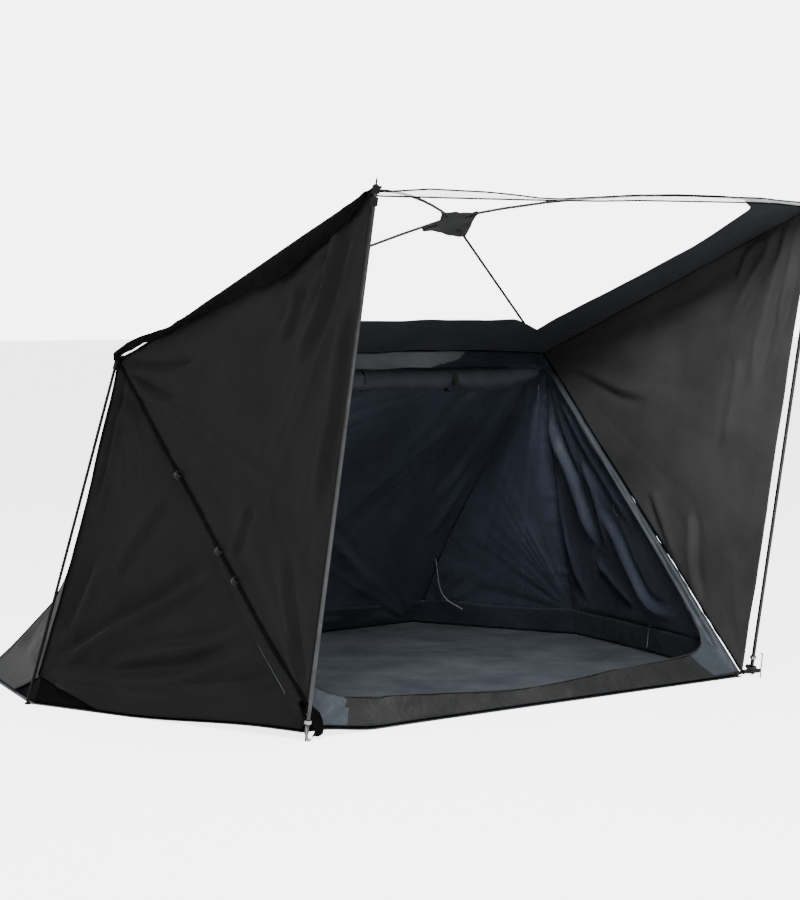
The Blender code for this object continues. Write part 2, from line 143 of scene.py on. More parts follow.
def lift_corner(points):
    """The left front corner hangs a little off the ground, from the ring on the pole."""
    edge = FRONT[0][0] + (points[:, 1] - FRONT[0][1]) * (SIDE[0][0] - FRONT[0][0]) / (SIDE[0][1] - FRONT[0][1])
    inside = np.maximum(points[:, 0] - edge - 0.06, 0.0)
    along = smooth(0.85, 0.15, points[:, 1] - FRONT[0][1])
    amount = CORNER_LIFT * along * smooth(0.30, 0.0, inside) * smooth(0.40, 0.02, points[:, 2])
    return points + amount[:, None] * np.array([0.0, 0.0, 1.0])


def crown(points):
    """The ridge and what hangs from it rise a little between the two elbows."""
    x, y, z = points.T
    along = np.clip(1 - np.abs(x / RIDGE[1][0]) ** 3, 0.0, 1.0)
    away = np.hypot(y - RIDGE[1][1], z - RIDGE[1][2])
    return points + (0.024 * along * np.exp(-away / 0.35))[:, None] * np.array([0.0, 0.0, 1.0])


def settle(points):
    """All the shared shifts of the cloth."""
    return crown(pull_corner(lift_corner(points)))


def line_distance(points, a, b):
    along = b - a
    share = np.clip(((points - a) @ along) / (along @ along), 0.0, 1.0)
    return np.linalg.norm(points - (a + share[:, None] * along), axis=1), share


def hold(points, edges, width):
    """0 on these edges, rising to 1 over the given width."""
    weight = np.ones(len(points))
    for a, b in edges:
        weight *= smooth(0.0, width, line_distance(points, a, b)[0])
    return weight


def fan(points, centre, axis, normal, folds, reach, depth, seed):
    """Height of the folds that run out from a corner."""
    offset = points - centre
    axis = unit(axis)
    x, y = offset @ axis, offset @ np.cross(normal, axis)
    distance = np.hypot(x, y)
    angle = np.arctan2(y, x)
    swell = distance / reach * np.exp(1 - distance / reach)
    soft = noise(angle * folds + 40, distance * 1.3 + 5, seed)
    sharp = 1 - 2 * np.abs(noise(angle * folds * 1.7 + 80, distance * 1.1 + 9, seed + 1))
    return depth * swell * (0.65 * soft + 0.35 * sharp)


def creases(points, a, b, count, width, depth, seed):
    """Short gathers that stand square to a seam."""
    distance, share = line_distance(points, a, b)
    gather = noise(share * count + 3, distance * 4 + 2, seed)
    return depth * gather * np.exp(-distance / width)


def pleats(points, axes, lines, width=0.026, depth=0.019):
    """Single folds: each line is a valley, with a rise on one side of it (its left, or its right
    where the scale is negative). A line is (knots on the two axes, scale, share of the width)."""
    flat = points[:, list(axes)]
    total = np.zeros(len(points))
    for knots, scale, broad in lines:
        route = curve_through(knots, 26)
        steps = np.diff(route, axis=0)
        lengths = np.linalg.norm(steps, axis=1)
        before = np.concatenate([[0.0], np.cumsum(lengths)])
        nearest = np.full(len(points), 1e9)
        side, along = np.zeros(len(points)), np.zeros(len(points))
        for start, step, length, done in zip(route[:-1], steps, lengths, before):
            offset = flat - start
            share = np.clip(offset @ step / length**2, 0, 1)
            gap = offset - share[:, None] * step
            distance = np.linalg.norm(gap, axis=1)
            closer = distance < nearest
            nearest[closer] = distance[closer]
            side[closer] = np.sign(step[0] * gap[:, 1] - step[1] * gap[:, 0])[closer]
            along[closer] = (done + share * length)[closer]
        share = along / before[-1]
        fade = smooth(0.0, 0.15, share) * smooth(1.0, 0.70, share)
        at = nearest * side / (width * broad) * math.copysign(1, scale)
        profile = 0.75 * np.exp(-(((at - 1.5) / 1.0) ** 2)) - np.exp(-np.abs(at) ** 1.5)
        total += depth * abs(scale) * fade * profile
    return total


def billow(points, seed, size, depth):
    x = points @ unit(np.array([0.8, 0.5, 0.2])) / size
    y = points @ unit(np.array([-0.3, 0.4, 0.9])) / size
    return depth * (noise(x, y, seed) + 0.45 * noise(x * 2.3 + 5, y * 2.3, seed + 1))


# Meshes


def triangle_rows(a, b, c, count):
    """A flat triangle as small triangles: points and faces."""
    pairs = np.array([(i, j) for i in range(count + 1) for j in range(count + 1 - i)])
    points = a + np.outer(pairs[:, 0] / count, b - a) + np.outer(pairs[:, 1] / count, c - a)
    index = np.zeros((count + 2, count + 2), int)
    index[pairs[:, 0], pairs[:, 1]] = np.arange(len(pairs))
    faces = []
    for i in range(count):
        for j in range(count - i):
            faces.append((index[i, j], index[i + 1, j], index[i, j + 1]))
            if j < count - 1 - i:
                faces.append((index[i + 1, j], index[i + 1, j + 1], index[i, j + 1]))
    return points, np.array(faces)


def flat_cloth(triangles, count):
    """Triangles that share sides, as one mesh."""
    all_points, all_faces, start = [], [], 0
    for corners in triangles:
        points, faces = triangle_rows(*corners, count)
        all_points.append(points)
        all_faces.append(faces + start)
        start += len(points)
    points, faces = np.vstack(all_points), np.vstack(all_faces)
    rounded = np.round(points / 2e-5).astype(np.int64)
    _, first, place = np.unique(rounded, axis=0, return_index=True, return_inverse=True)
    return points[first], place.reshape(-1)[faces]


def surface(shape, u_count, v_count, closed=False):
    """Quads over u and v from 0 to 1. A closed one joins v = 1 to v = 0."""
    v_values = np.linspace(0, 1, v_count + 1)[:-1] if closed else np.linspace(0, 1, v_count)
    u, v = np.meshgrid(np.linspace(0, 1, u_count), v_values, indexing="ij")
    points = shape(u.ravel(), v.ravel())
    index = np.arange(u.size).reshape(u.shape)
    if closed:
        index = np.hstack([index, index[:, :1]])
    corners = [index[:-1, :-1], index[1:, :-1], index[1:, 1:], index[:-1, 1:]]
    return points, np.stack(corners, -1).reshape(-1, 4)


def follow(route, share):
    """Points at these shares of a route's length."""
    route = np.asarray(route, float)
    lengths = np.concatenate([[0.0], np.cumsum(np.linalg.norm(np.diff(route, axis=0), axis=1))])
    at = np.asarray(share) * lengths[-1]
    return np.stack([np.interp(at, lengths, route[:, k]) for k in range(route.shape[1])], -1)


def curve_through(knots, count):
    """A smooth line through knots, as count points (centripetal-free Catmull-Rom)."""
    knots = np.asarray(knots, float)
    padded = np.vstack([2 * knots[0] - knots[1], knots, 2 * knots[-1] - knots[-2]])
    found = []
    for at in np.linspace(0, len(knots) - 1, count):
        i = min(int(at), len(knots) - 2)
        t = at - i
        p0, p1, p2, p3 = padded[i : i + 4]
        found.append(
            0.5 * (2 * p1 + (p2 - p0) * t + (2 * p0 - 5 * p1 + 4 * p2 - p3) * t**2
                   + (3 * p1 - p0 - 3 * p2 + p3) * t**3)
        )
    return np.array(found)


def make(name, points, faces, looks, smooth_shade=True):
    mesh = bpy.data.meshes.new(name)
    mesh.from_pydata([tuple(p) for p in points], [], [tuple(int(i) for i in f) for f in faces])
    mesh.update()
    for look in looks:
        mesh.materials.append(look)
    if smooth_shade:
        mesh.shade_smooth()
    thing = bpy.data.objects.new(name, mesh)
    bpy.context.scene.collection.objects.link(thing)
    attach(thing, "root")
    return thing


def facing(points, faces, outward):
    """The faces, turned if need be so that they face outward on the whole."""
    a, b, c = points[faces[:, 0]], points[faces[:, 1]], points[faces[:, 2]]
    total = np.cross(b - a, c - a).sum(0)
    return faces if total @ outward > 0 else faces[:, ::-1]


def mesh_area(points, faces):
    a, b, c = points[faces[:, 0]], points[faces[:, 1]], points[faces[:, 2]]
    area = np.linalg.norm(np.cross(b - a, c - a), axis=1).sum() / 2
    if faces.shape[1] == 4:
        d = points[faces[:, 3]]
        area += np.linalg.norm(np.cross(c - a, d - a), axis=1).sum() / 2
    return area


def cloth(name, points, faces, outward, looks, thick=CLOTH, offset=-1.0):
    """A sheet with real thickness. looks are the outer and the inner material."""
    thing = make(name, points, facing(points, faces, outward), looks)
    shell = thing.modifiers.new("thickness", "SOLIDIFY")
    shell.thickness = thick
    shell.offset = offset
    shell.use_rim = True
    shell.material_offset = len(looks)
    shell.material_offset_rim = 0
    return thing


def declare(points, faces, flat):
    """Works out the sheet's area and keeps nothing. flat, the cut's width and length, is not used."""
    area = mesh_area(points, faces)


def ribbon(name, route, across, width, look, count=None, crown=0.0008, thick=0.0012, wave=0.0):
    """A flat tape along a route. across gives the way its width runs."""
    route = np.asarray(route, float)
    length = np.linalg.norm(np.diff(route, axis=0), axis=1).sum()
    count = count or max(8, int(length / 0.012))
    across = unit(np.asarray(across, float))

    def shape(u, v):
        centre = follow(route, u)
        ahead = follow(route, np.minimum(u + 0.004, 1.0)) - follow(route, np.maximum(u - 0.004, 0.0))
        ahead /= np.linalg.norm(ahead, axis=1)[:, None] + 1e-9
        side = across - ahead * (ahead @ across)[:, None]
        side /= np.linalg.norm(side, axis=1)[:, None]
        up = np.cross(ahead, side)
        offset = (v - 0.5)[:, None] * width
        height = crown * (1 - (2 * v - 1) ** 2) + wave * noise(u * length * 22, v * 0.7, 11)
        return centre + side * offset + up * height[:, None]

    points, faces = surface(shape, count, 5)
    thing = make(name, points, faces, [look])
    shell = thing.modifiers.new("thickness", "SOLIDIFY")
    shell.thickness = thick
    shell.offset = 0.0
    return thing


def tube(name, route, radius, look, count=None, sides=10, closed_ends=True):
    """A round bar or cord along a route, as a curve."""
    route = np.asarray(route, float)
    curve = bpy.data.curves.new(name, "CURVE")
    curve.dimensions = "3D"
    curve.bevel_depth = 1.0
    curve.bevel_resolution = max(1, sides // 4)
    curve.use_fill_caps = closed_ends
    spline = curve.splines.new("POLY")
    points = follow(route, np.linspace(0, 1, count)) if count else route
    spline.points.add(len(points) - 1)
    for i, knot in enumerate(spline.points):
        knot.co = (*points[i], 1.0)
        knot.radius = radius
    curve.materials.append(look)
    thing = bpy.data.objects.new(name, curve)
    bpy.context.scene.collection.objects.link(thing)
    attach(thing, "root")
    return thing


# Materials


def new_look(name, colour, roughness, specular=0.3, metallic=0.0):
    look = bpy.data.materials.new(name)
    look.use_nodes = True
    shader = look.node_tree.nodes["Principled BSDF"]
    shader.inputs["Base Color"].default_value = (*colour, 1.0)
    shader.inputs["Roughness"].default_value = roughness
    shader.inputs["Specular IOR Level"].default_value = specular
    shader.inputs["Metallic"].default_value = metallic
    return look, look.node_tree.nodes, look.node_tree.links, shader


def texture(nodes, links, kind, scale, **values):
    """A texture in the piece's own metres."""
    place = nodes.get("Place") or nodes.new("ShaderNodeTexCoord")
    place.name = "Place"
    node = nodes.new(kind)
    links.new(place.outputs["Object"], node.inputs["Vector"])
    node.inputs["Scale"].default_value = scale
    for key, value in values.items():
        node.inputs[key.replace("_", " ").title()].default_value = value
    return node


def tint(nodes, links, shader, factor, dark, light, low=0.35, high=0.65):
    ramp = nodes.new("ShaderNodeValToRGB")
    ramp.color_ramp.elements[0].position = low
    ramp.color_ramp.elements[1].position = high
    ramp.color_ramp.elements[0].color = (*dark, 1.0)
    ramp.color_ramp.elements[1].color = (*light, 1.0)
    links.new(factor, ramp.inputs["Fac"])
    links.new(ramp.outputs["Color"], shader.inputs["Base Color"])


def bump(nodes, links, height, strength, distance, after=None):
    node = nodes.new("ShaderNodeBump")
    node.inputs["Strength"].default_value = strength
    node.inputs["Distance"].default_value = distance
    links.new(height, node.inputs["Height"])
    if after:
        links.new(after.outputs["Normal"], node.inputs["Normal"])
    return node


def woven(name, dark, light, roughness=0.62, sheen=0.15, creased=0.5, specular=0.22):
    """Coated tent cloth: a fine weave, small creases and a faint mottle."""
    look, nodes, links, shader = new_look(name, dark, roughness, specular)
    mottle = texture(nodes, links, "ShaderNodeTexNoise", 3.2, detail=6.0, roughness=0.6)
    tint(nodes, links, shader, mottle.outputs["Fac"], dark, light)
    crease = texture(nodes, links, "ShaderNodeTexNoise", 17.0, detail=5.0, roughness=0.62, distortion=1.6)
    soft = bump(nodes, links, crease.outputs["Fac"], creased, 0.010)
    warp = texture(nodes, links, "ShaderNodeTexWave", 380.0, distortion=0.6)
    weft = texture(nodes, links, "ShaderNodeTexWave", 380.0, distortion=0.6)
    weft.bands_direction = "Z"
    threads = nodes.new("ShaderNodeMath")
    threads.operation = "MULTIPLY"
    links.new(warp.outputs["Fac"], threads.inputs[0])
    links.new(weft.outputs["Fac"], threads.inputs[1])
    fine = bump(nodes, links, threads.outputs["Value"], 0.25, 0.0004, soft)
    links.new(fine.outputs["Normal"], shader.inputs["Normal"])
    shader.inputs["Sheen Weight"].default_value = sheen
    shader.inputs["Sheen Roughness"].default_value = 0.5
    return look


def film_look(name, alpha):
    look, nodes, links, shader = new_look(name, (0.93, 0.95, 0.96), 0.12, 0.3)
    ripple = texture(nodes, links, "ShaderNodeTexNoise", 7.0, detail=4.0, roughness=0.55, distortion=1.0)
    waves = bump(nodes, links, ripple.outputs["Fac"], 0.35, 0.01)
    links.new(waves.outputs["Normal"], shader.inputs["Normal"])
    shader.inputs["Alpha"].default_value = alpha
    return look


def plastic_look(name, dark, light, roughness=0.42, specular=0.45):
    look, nodes, links, shader = new_look(name, dark, roughness, specular)
    grain = texture(nodes, links, "ShaderNodeTexNoise", 60.0, detail=6.0, roughness=0.65)
    tint(nodes, links, shader, grain.outputs["Fac"], dark, light)
    rough = bump(nodes, links, grain.outputs["Fac"], 0.2, 0.0006)
    links.new(rough.outputs["Normal"], shader.inputs["Normal"])
    return look


def metal_look(name, dark, light, roughness):
    look, nodes, links, shader = new_look(name, dark, roughness, 0.5, 1.0)
    grain = texture(nodes, links, "ShaderNodeTexNoise", 14.0, detail=8.0, roughness=0.7)
    tint(nodes, links, shader, grain.outputs["Fac"], dark, light)
    fine = texture(nodes, links, "ShaderNodeTexNoise", 240.0, detail=3.0, roughness=0.6)
    rough = bump(nodes, links, fine.outputs["Fac"], 0.12, 0.0004)
    links.new(rough.outputs["Normal"], shader.inputs["Normal"])
    return look


def webbing_look(name, dark, light):
    look, nodes, links, shader = new_look(name, dark, 0.75, 0.2)
    rib = texture(nodes, links, "ShaderNodeTexWave", 260.0, distortion=1.0)
    rib.bands_direction = "DIAGONAL"
    tint(nodes, links, shader, rib.outputs["Fac"], dark, light, 0.2, 0.8)
    ridges = bump(nodes, links, rib.outputs["Fac"], 0.5, 0.0008)
    links.new(ridges.outputs["Normal"], shader.inputs["Normal"])
    shader.inputs["Sheen Weight"].default_value = 0.1
    return look


DARK_OUT = woven("dark_cloth_outer", (0.0040, 0.0041, 0.0043), (0.0058, 0.0060, 0.0063), 0.56, 0.02, 0.15, 0.07)
NAVY_IN = woven("navy_cloth_inner", (0.0230, 0.0290, 0.0430), (0.0370, 0.0460, 0.0660), 0.42, 0.05, 0.32, 0.30)
# The dark outer cloth made lighter grey: painted sheen, standing in for light that grazes the rear walls.
SHEEN_PAINTED_OUT = woven("dark_cloth_outer_painted_sheen", (0.0165, 0.0170, 0.0180), (0.0230, 0.0238, 0.0250), 0.62, 0.05, 0.20, 0.06)
GREY_IN = woven("grey_cloth_inner", (0.0270, 0.0270, 0.0280), (0.0400, 0.0400, 0.0415), 0.62, 0.05, 0.15, 0.08)
ROOF_IN = woven("roof_cloth_inner", (0.0150, 0.0168, 0.0200), (0.0230, 0.0255, 0.0300), 0.60, 0.05, 0.20, 0.08)
BAND_CLOTH = woven("band_cloth", (0.190, 0.197, 0.222), (0.260, 0.270, 0.300), 0.62, 0.05, 0.20, 0.10)
ROLL_LOOK = woven("rolled_door_cloth", (0.0190, 0.0220, 0.0280), (0.0300, 0.0340, 0.0420), 0.50, 0.05, 0.35, 0.15)
FRAME_LOOK = woven("door_edge_cloth", (0.0110, 0.0114, 0.0118), (0.0210, 0.0214, 0.0216), 0.48, 0.03, 0.60, 0.15)
STRIP_LOOK = woven("door_strip_cloth", (0.0260, 0.0320, 0.0400), (0.0440, 0.0530, 0.0640), 0.46, 0.05, 0.50, 0.25)
DARK_TRIM = woven("dark_trim", (0.0018, 0.0018, 0.0020), (0.0030, 0.0031, 0.0034), 0.75, 0.0, 0.25, 0.03)
FLOOR_LOOK = woven("floor_cloth_look", (0.028, 0.034, 0.042), (0.060, 0.068, 0.078), 0.40, 0.04, 0.35, 0.30)
TUB_LOOK = woven("tub_cloth_look", (0.0150, 0.0190, 0.0270), (0.0260, 0.0320, 0.0430), 0.46, 0.05, 0.60, 0.25)
PAD_LOOK = woven("pad_cloth", (0.010, 0.010, 0.0108), (0.014, 0.014, 0.015), 0.7, 0.03, 0.2, 0.06)
FILM_LOOK = film_look("clear_film_look", 0.015)
HEM_LOOK = film_look("film_hem_look", 0.30)
STEEL_LOOK = metal_look("steel_look", (0.045, 0.046, 0.048), (0.075, 0.077, 0.080), 0.26)
BRIGHT_STEEL = metal_look("bright_steel_look", (0.34, 0.34, 0.35), (0.50, 0.50, 0.51), 0.30)
POLE_LOOK = plastic_look("pole_look", (0.0022, 0.0022, 0.0024), (0.0040, 0.0040, 0.0044), 0.45, 0.12)
PLASTIC_LOOK = plastic_look("plastic_look", (0.0030, 0.0030, 0.0033), (0.0055, 0.0055, 0.0060), 0.50, 0.15)
WHITE_LOOK = plastic_look("white_plastic_look", (0.60, 0.60, 0.58), (0.72, 0.72, 0.70), 0.4)
STRAP_LOOK = webbing_look("strap_look", (0.0030, 0.0030, 0.0033), (0.0065, 0.0065, 0.0070))
TAG_LOOK = webbing_look("tag_look", (0.16, 0.17, 0.19), (0.26, 0.27, 0.30))


# Bowed rear edges: the cloth there is pulled in between the ridge and the floor

BOW = (
    ((0.0, 0.0), (0.05, 0.055), (0.10, 0.096), (0.20, 0.158), (0.30, 0.212), (0.40, 0.222), (0.60, 0.190),
     (0.90, 0.110), (1.327, 0.0)),
    ((0.0, 0.0), (0.14, 0.0), (0.20, 0.006), (0.30, 0.028), (0.44, 0.043), (0.70, 0.031), (1.00, 0.016),
     (1.327, 0.0)),
)


def bow(points, s, across):
    """How far inwards the rear corner's cloth lies. across is 0 at the leg and 1 at the edge."""
    return np.interp(points[:, 2], *zip(*BOW[s])) * across


def rear_edge_x(s, z):
    return REAR[s][0] + (RIDGE[s][0] - REAR[s][0]) * z / RIDGE[s][2]


def across_rear(points, s):
    """0 on the leg seam, 1 on the rear edge, at each point's height."""
    share = points[:, 2:3] / RIDGE[s][2]
    leg = SIDE[s] + (RIDGE[s] - SIDE[s]) * share
    edge = REAR[s] + (RIDGE[s] - REAR[s]) * share
    span = edge - leg
    return np.clip(((points - leg) * span).sum(1) / ((span * span).sum(1) + 1e-6), 0.0, 1.0)


LEG_BOW = (0.020, 0.016)


def leg_bow(points, s):
    """The leg seam's small inward bow, shared by the walls on both sides of it."""
    distance, share = line_distance(points, SIDE[s], RIDGE[s])
    amount = LEG_BOW[s] * 4 * share * (1 - share) * np.exp(-((distance / 0.22) ** 2))
    inward = np.array([-SIGN[s], -0.2, 0.0])
    return amount[:, None] * inward


# Walls


def clear_of_tub(height, z):
    """Keeps the walls outside the floor's tub."""
    return np.maximum(height, -0.003 - 0.12 * smooth(0.11, 0.30, z))


# Folds that the cloth shows, on (y, z) in metres: knots, scale, share of the usual width.
WALL_FOLDS = (
    (
        (((0.190, 0.182), (0.023, 0.289), (-0.124, 0.372), (-0.308, 0.465), (-0.421, 0.535), (-0.543, 0.605)), 1.3, 1.0),
        (((-0.035, 0.193), (-0.188, 0.248), (-0.352, 0.291), (-0.517, 0.317), (-0.634, 0.355), (-0.743, 0.375)), 1.0, 0.9),
        (((0.209, 0.121), (-0.100, 0.157), (-0.292, 0.183), (-0.438, 0.204), (-0.556, 0.243), (-0.670, 0.289),
          (-0.789, 0.311)), 1.8, 1.3),
        (((0.185, 0.119), (-0.110, 0.112), (-0.291, 0.100), (-0.462, 0.104), (-0.586, 0.116)), 1.0, 0.7),
        (((-0.418, 0.157), (-0.516, 0.146), (-0.613, 0.139), (-0.714, 0.148), (-0.820, 0.178), (-0.916, 0.200)), 1.0, 0.8),
        (((-0.080, 0.480), (-0.132, 0.588), (-0.192, 0.695), (-0.281, 0.832)), -0.7, 1.2),
        (((0.095, 1.290), (0.101, 1.161), (0.121, 1.037), (0.130, 0.870), (0.150, 0.700)), -1.4, 0.9),
        (((0.060, 1.200), (0.000, 1.080), (-0.060, 0.950), (-0.100, 0.800)), 0.6, 1.3),
        (((0.180, 0.250), (0.120, 0.420), (0.060, 0.620)), 0.8, 1.2),
    ),
    (
        (((0.160, 1.240), (0.150, 1.104), (0.110, 0.951), (0.027, 0.802), (-0.022, 0.662), (-0.072, 0.522), (-0.202, 0.411)),
         -1.5, 1.0),
        (((0.150, 0.980), (0.170, 0.875), (0.150, 0.547), (0.130, 0.394), (0.100, 0.260), (0.040, 0.146)), 1.2, 1.0),
        (((-0.080, 0.860), (-0.153, 0.733), (-0.185, 0.560), (-0.171, 0.400)), 1.2, 1.0),
        (((-0.180, 0.640), (-0.265, 0.521), (-0.337, 0.384), (-0.460, 0.235), (-0.700, 0.200)), -1.3, 0.9),
        (((-0.068, 0.398), (-0.200, 0.300), (-0.352, 0.200)), 1.0, 0.8),
        (((0.040, 1.180), (-0.100, 0.960), (-0.260, 0.760), (-0.480, 0.540)), 0.9, 1.1),
    ),
)
AWNING_FOLDS = (
    (
        (((0.100, 1.318), (-0.100, 1.322), (-0.260, 1.325), (-0.456, 1.367)), 1.2, 0.8),
        (((0.070, 1.290), (-0.144, 1.217), (-0.311, 1.194)), 1.1, 0.8),
        (((-1.330, 1.840), (-1.287, 1.791), (-1.234, 1.644), (-1.179, 1.522), (-1.109, 1.415), (-1.020, 1.290)), 1.2, 1.1),
        (((-1.190, 1.760), (-1.149, 1.627), (-1.090, 1.540)), -0.8, 0.7),
        (((-1.048, 1.627), (-1.006, 1.503), (-0.940, 1.400)), 0.8, 0.8),
        (((-0.760, 0.820), (-0.746, 0.787), (-0.686, 0.672), (-0.660, 0.600)), 0.7, 0.8),
        (((-1.080, 0.160), (-1.040, 0.330), (-1.000, 0.520), (-0.980, 0.720)), -0.8, 1.1),
        (((-1.330, 1.600), (-1.290, 1.320), (-1.220, 1.020), (-1.150, 0.760)), 0.7, 1.2),
    ),
    (
        (((-1.340, 1.905), (-1.314, 1.883), (-1.283, 1.790), (-1.235, 1.659), (-1.187, 1.495), (-1.146, 1.368),
          (-1.105, 1.176)), -1.5, 1.0),
        (((-1.270, 1.880), (-1.235, 1.853), (-1.195, 1.760), (-1.122, 1.672), (-1.064, 1.583), (-0.956, 1.429)), -1.3, 0.9),
        (((-1.195, 1.829), (-1.089, 1.761), (-1.023, 1.622)), 0.9, 0.8),
        (((-1.360, 1.890), (-1.323, 1.776), (-1.283, 1.597), (-1.240, 1.420)), -1.3, 0.8),
        (((-1.050, 1.330), (-1.022, 1.218), (-0.989, 1.069), (-0.960, 0.930)), 0.8, 0.9),
        (((-0.540, 0.760), (-0.587, 0.685), (-0.669, 0.512), (-0.765, 0.291)), 1.0, 0.9),
        (((-0.760, 0.680), (-0.777, 0.581), (-0.790, 0.390), (-0.838, 0.246)), -1.0, 0.9),
        (((0.060, 1.310), (-0.160, 1.250), (-0.360, 1.180), (-0.560, 1.160)), 0.9, 0.9),
    ),
)
SIDE_VIEW = (1, 2)
BACK_VIEW = (0, 2)


SEAM_FOOT = (at_height(FRONT[0], TOP[0], 0.110), at_height(FRONT[1], TOP[1], HEM_Z))


def side_wall(s):
    front_low = at_height(FRONT[s], RIDGE[s], HEM_Z)
    leg_low = at_height(SIDE[s], RIDGE[s], HEM_RAISED)
    turn = lerp(SIDE[s], FRONT[s], 0.26)
    turn = turn - N_LOW[s] * 0.0 + np.array([-SIGN[s] * 0.001, 0.0, HEM_Z])
    turn[0] = (RIDGE[s] @ N_LOW[s] - turn[1] * N_LOW[s][1] - turn[2] * N_LOW[s][2]) / N_LOW[s][0]
    parts = [(RIDGE[s], front_low, turn), (RIDGE[s], turn, leg_low)]
    if s == LEFT:
        parts.append((RIDGE[s], SEAM_FOOT[s], front_low))
    points, faces = flat_cloth(parts, 96)
    seams = [(SEAM_FOOT[s], RIDGE[s]), (leg_low, RIDGE[s])]
    free = hold(points, seams, 0.10)
    low = smooth(0.0, 0.08, points[:, 2])
    strong = (0.7, 2.0)[s]
    height = fan(points, leg_low, FRONT[s] - leg_low + np.array([0, 0, 0.5]), N_LOW[s], 7, 0.30, 0.004, 21)
    height += strong * fan(points, RIDGE[s], FRONT[s] - RIDGE[s], N_LOW[s], 9, 0.45, 0.006, 31 + s)
    height += fan(points, front_low, RIDGE[s] - FRONT[s], N_LOW[s], 8, 0.22, 0.005, 41)
    height += billow(points, 51 + s, 0.42, 0.005) - 0.012
    folds = pleats(points, SIDE_VIEW, WALL_FOLDS[s])
    gathers = creases(points, SEAM_FOOT[s], RIDGE[s], 42, 0.035, 0.0040, 61)
    gathers += creases(points, leg_low, RIDGE[s], 38, 0.04, 0.0050, 66)
    total = (height * free + folds * hold(points, seams, 0.04) + gathers * hold(points, seams, 0.02))
    total = clear_of_tub(total * (0.25 + 0.75 * low), points[:, 2])
    moved = settle(points + N_LOW[s] * total[:, None] + drift(points) + leg_bow(points, s))
    looks = [DARK_OUT, NAVY_IN]
    thing = cloth("side_wall_" + WORDS[s], moved, faces, N_LOW[s], looks)
    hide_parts("side_panel_" + WORDS[s])
    declare(moved, faces, (1.36, 1.86))
    return thing


def rear_wall(s):
    leg_low = at_height(SIDE[s], RIDGE[s], HEM_RAISED)
    rear_low = at_height(REAR[s], RIDGE[s], HEM_Z)
    turn = lerp(SIDE[s], REAR[s], 0.35) + np.array([0.0, 0.0, HEM_Z])
    turn[0] = (RIDGE[s] @ N_REAR[s] - turn[1] * N_REAR[s][1] - turn[2] * N_REAR[s][2]) / N_REAR[s][0]
    points, faces = flat_cloth([(RIDGE[s], leg_low, turn), (RIDGE[s], turn, rear_low)], 88)
    seams = [(leg_low, RIDGE[s]), (REAR[s], RIDGE[s])]
    free = hold(points, seams, 0.10)
    low = smooth(0.0, 0.08, points[:, 2])
    height = fan(points, RIDGE[s], REAR[s] - RIDGE[s], N_REAR[s], 9, 0.45, 0.012, 71)
    height += fan(points, leg_low, REAR[s] - leg_low + np.array([0, 0, 0.4]), N_REAR[s], 8, 0.25, 0.008, 81)
    height += fan(points, rear_low, RIDGE[s] - REAR[s], N_REAR[s], 8, 0.25, 0.008, 91)
    height += billow(points, 95 + s, 0.35, 0.006) - 0.010
    gathers = creases(points, leg_low, RIDGE[s], 44, 0.05, 0.0080, 96)
    gathers += creases(points, rear_low, RIDGE[s], 44, 0.04, 0.0060, 97)
    total = (height * free + gathers * hold(points, seams, 0.02)) * (0.25 + 0.75 * low)
    total = clear_of_tub(total, points[:, 2])
    inward = np.zeros_like(points)
    inward[:, 0] = -SIGN[s] * bow(points, s, across_rear(points, s))
    moved = settle(points + N_REAR[s] * total[:, None] + drift(points) + leg_bow(points, s) + inward)
    # Outer side: the dark cloth made lighter as painted sheen.
    thing = cloth("rear_wall_" + WORDS[s], moved, faces, N_REAR[s], [SHEEN_PAINTED_OUT, NAVY_IN])
    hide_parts("rear_side_panel_" + WORDS[s])
    declare(moved, faces, (0.94, 1.66))
    return thing


BACK_FOLDS = (
    (((-1.100, 1.260), (-0.560, 0.960), (0.040, 0.660), (0.470, 0.426), (0.968, 0.116)), 0.8, 0.8),
    (((1.120, 1.250), (1.080, 1.000), (1.000, 0.760), (0.900, 0.520)), -1.0, 1.0),
    (((1.150, 0.900), (1.080, 0.640), (1.040, 0.400)), 0.9, 0.8),
    (((-1.100, 1.200), (-1.020, 0.860), (-0.860, 0.540)), 1.0, 1.1),
    (((0.780, 1.280), (0.700, 1.060), (0.560, 0.860)), 0.7, 1.2),
    (((-0.400, 0.300), (-0.100, 0.260), (0.260, 0.280)), 0.8, 1.3),
)


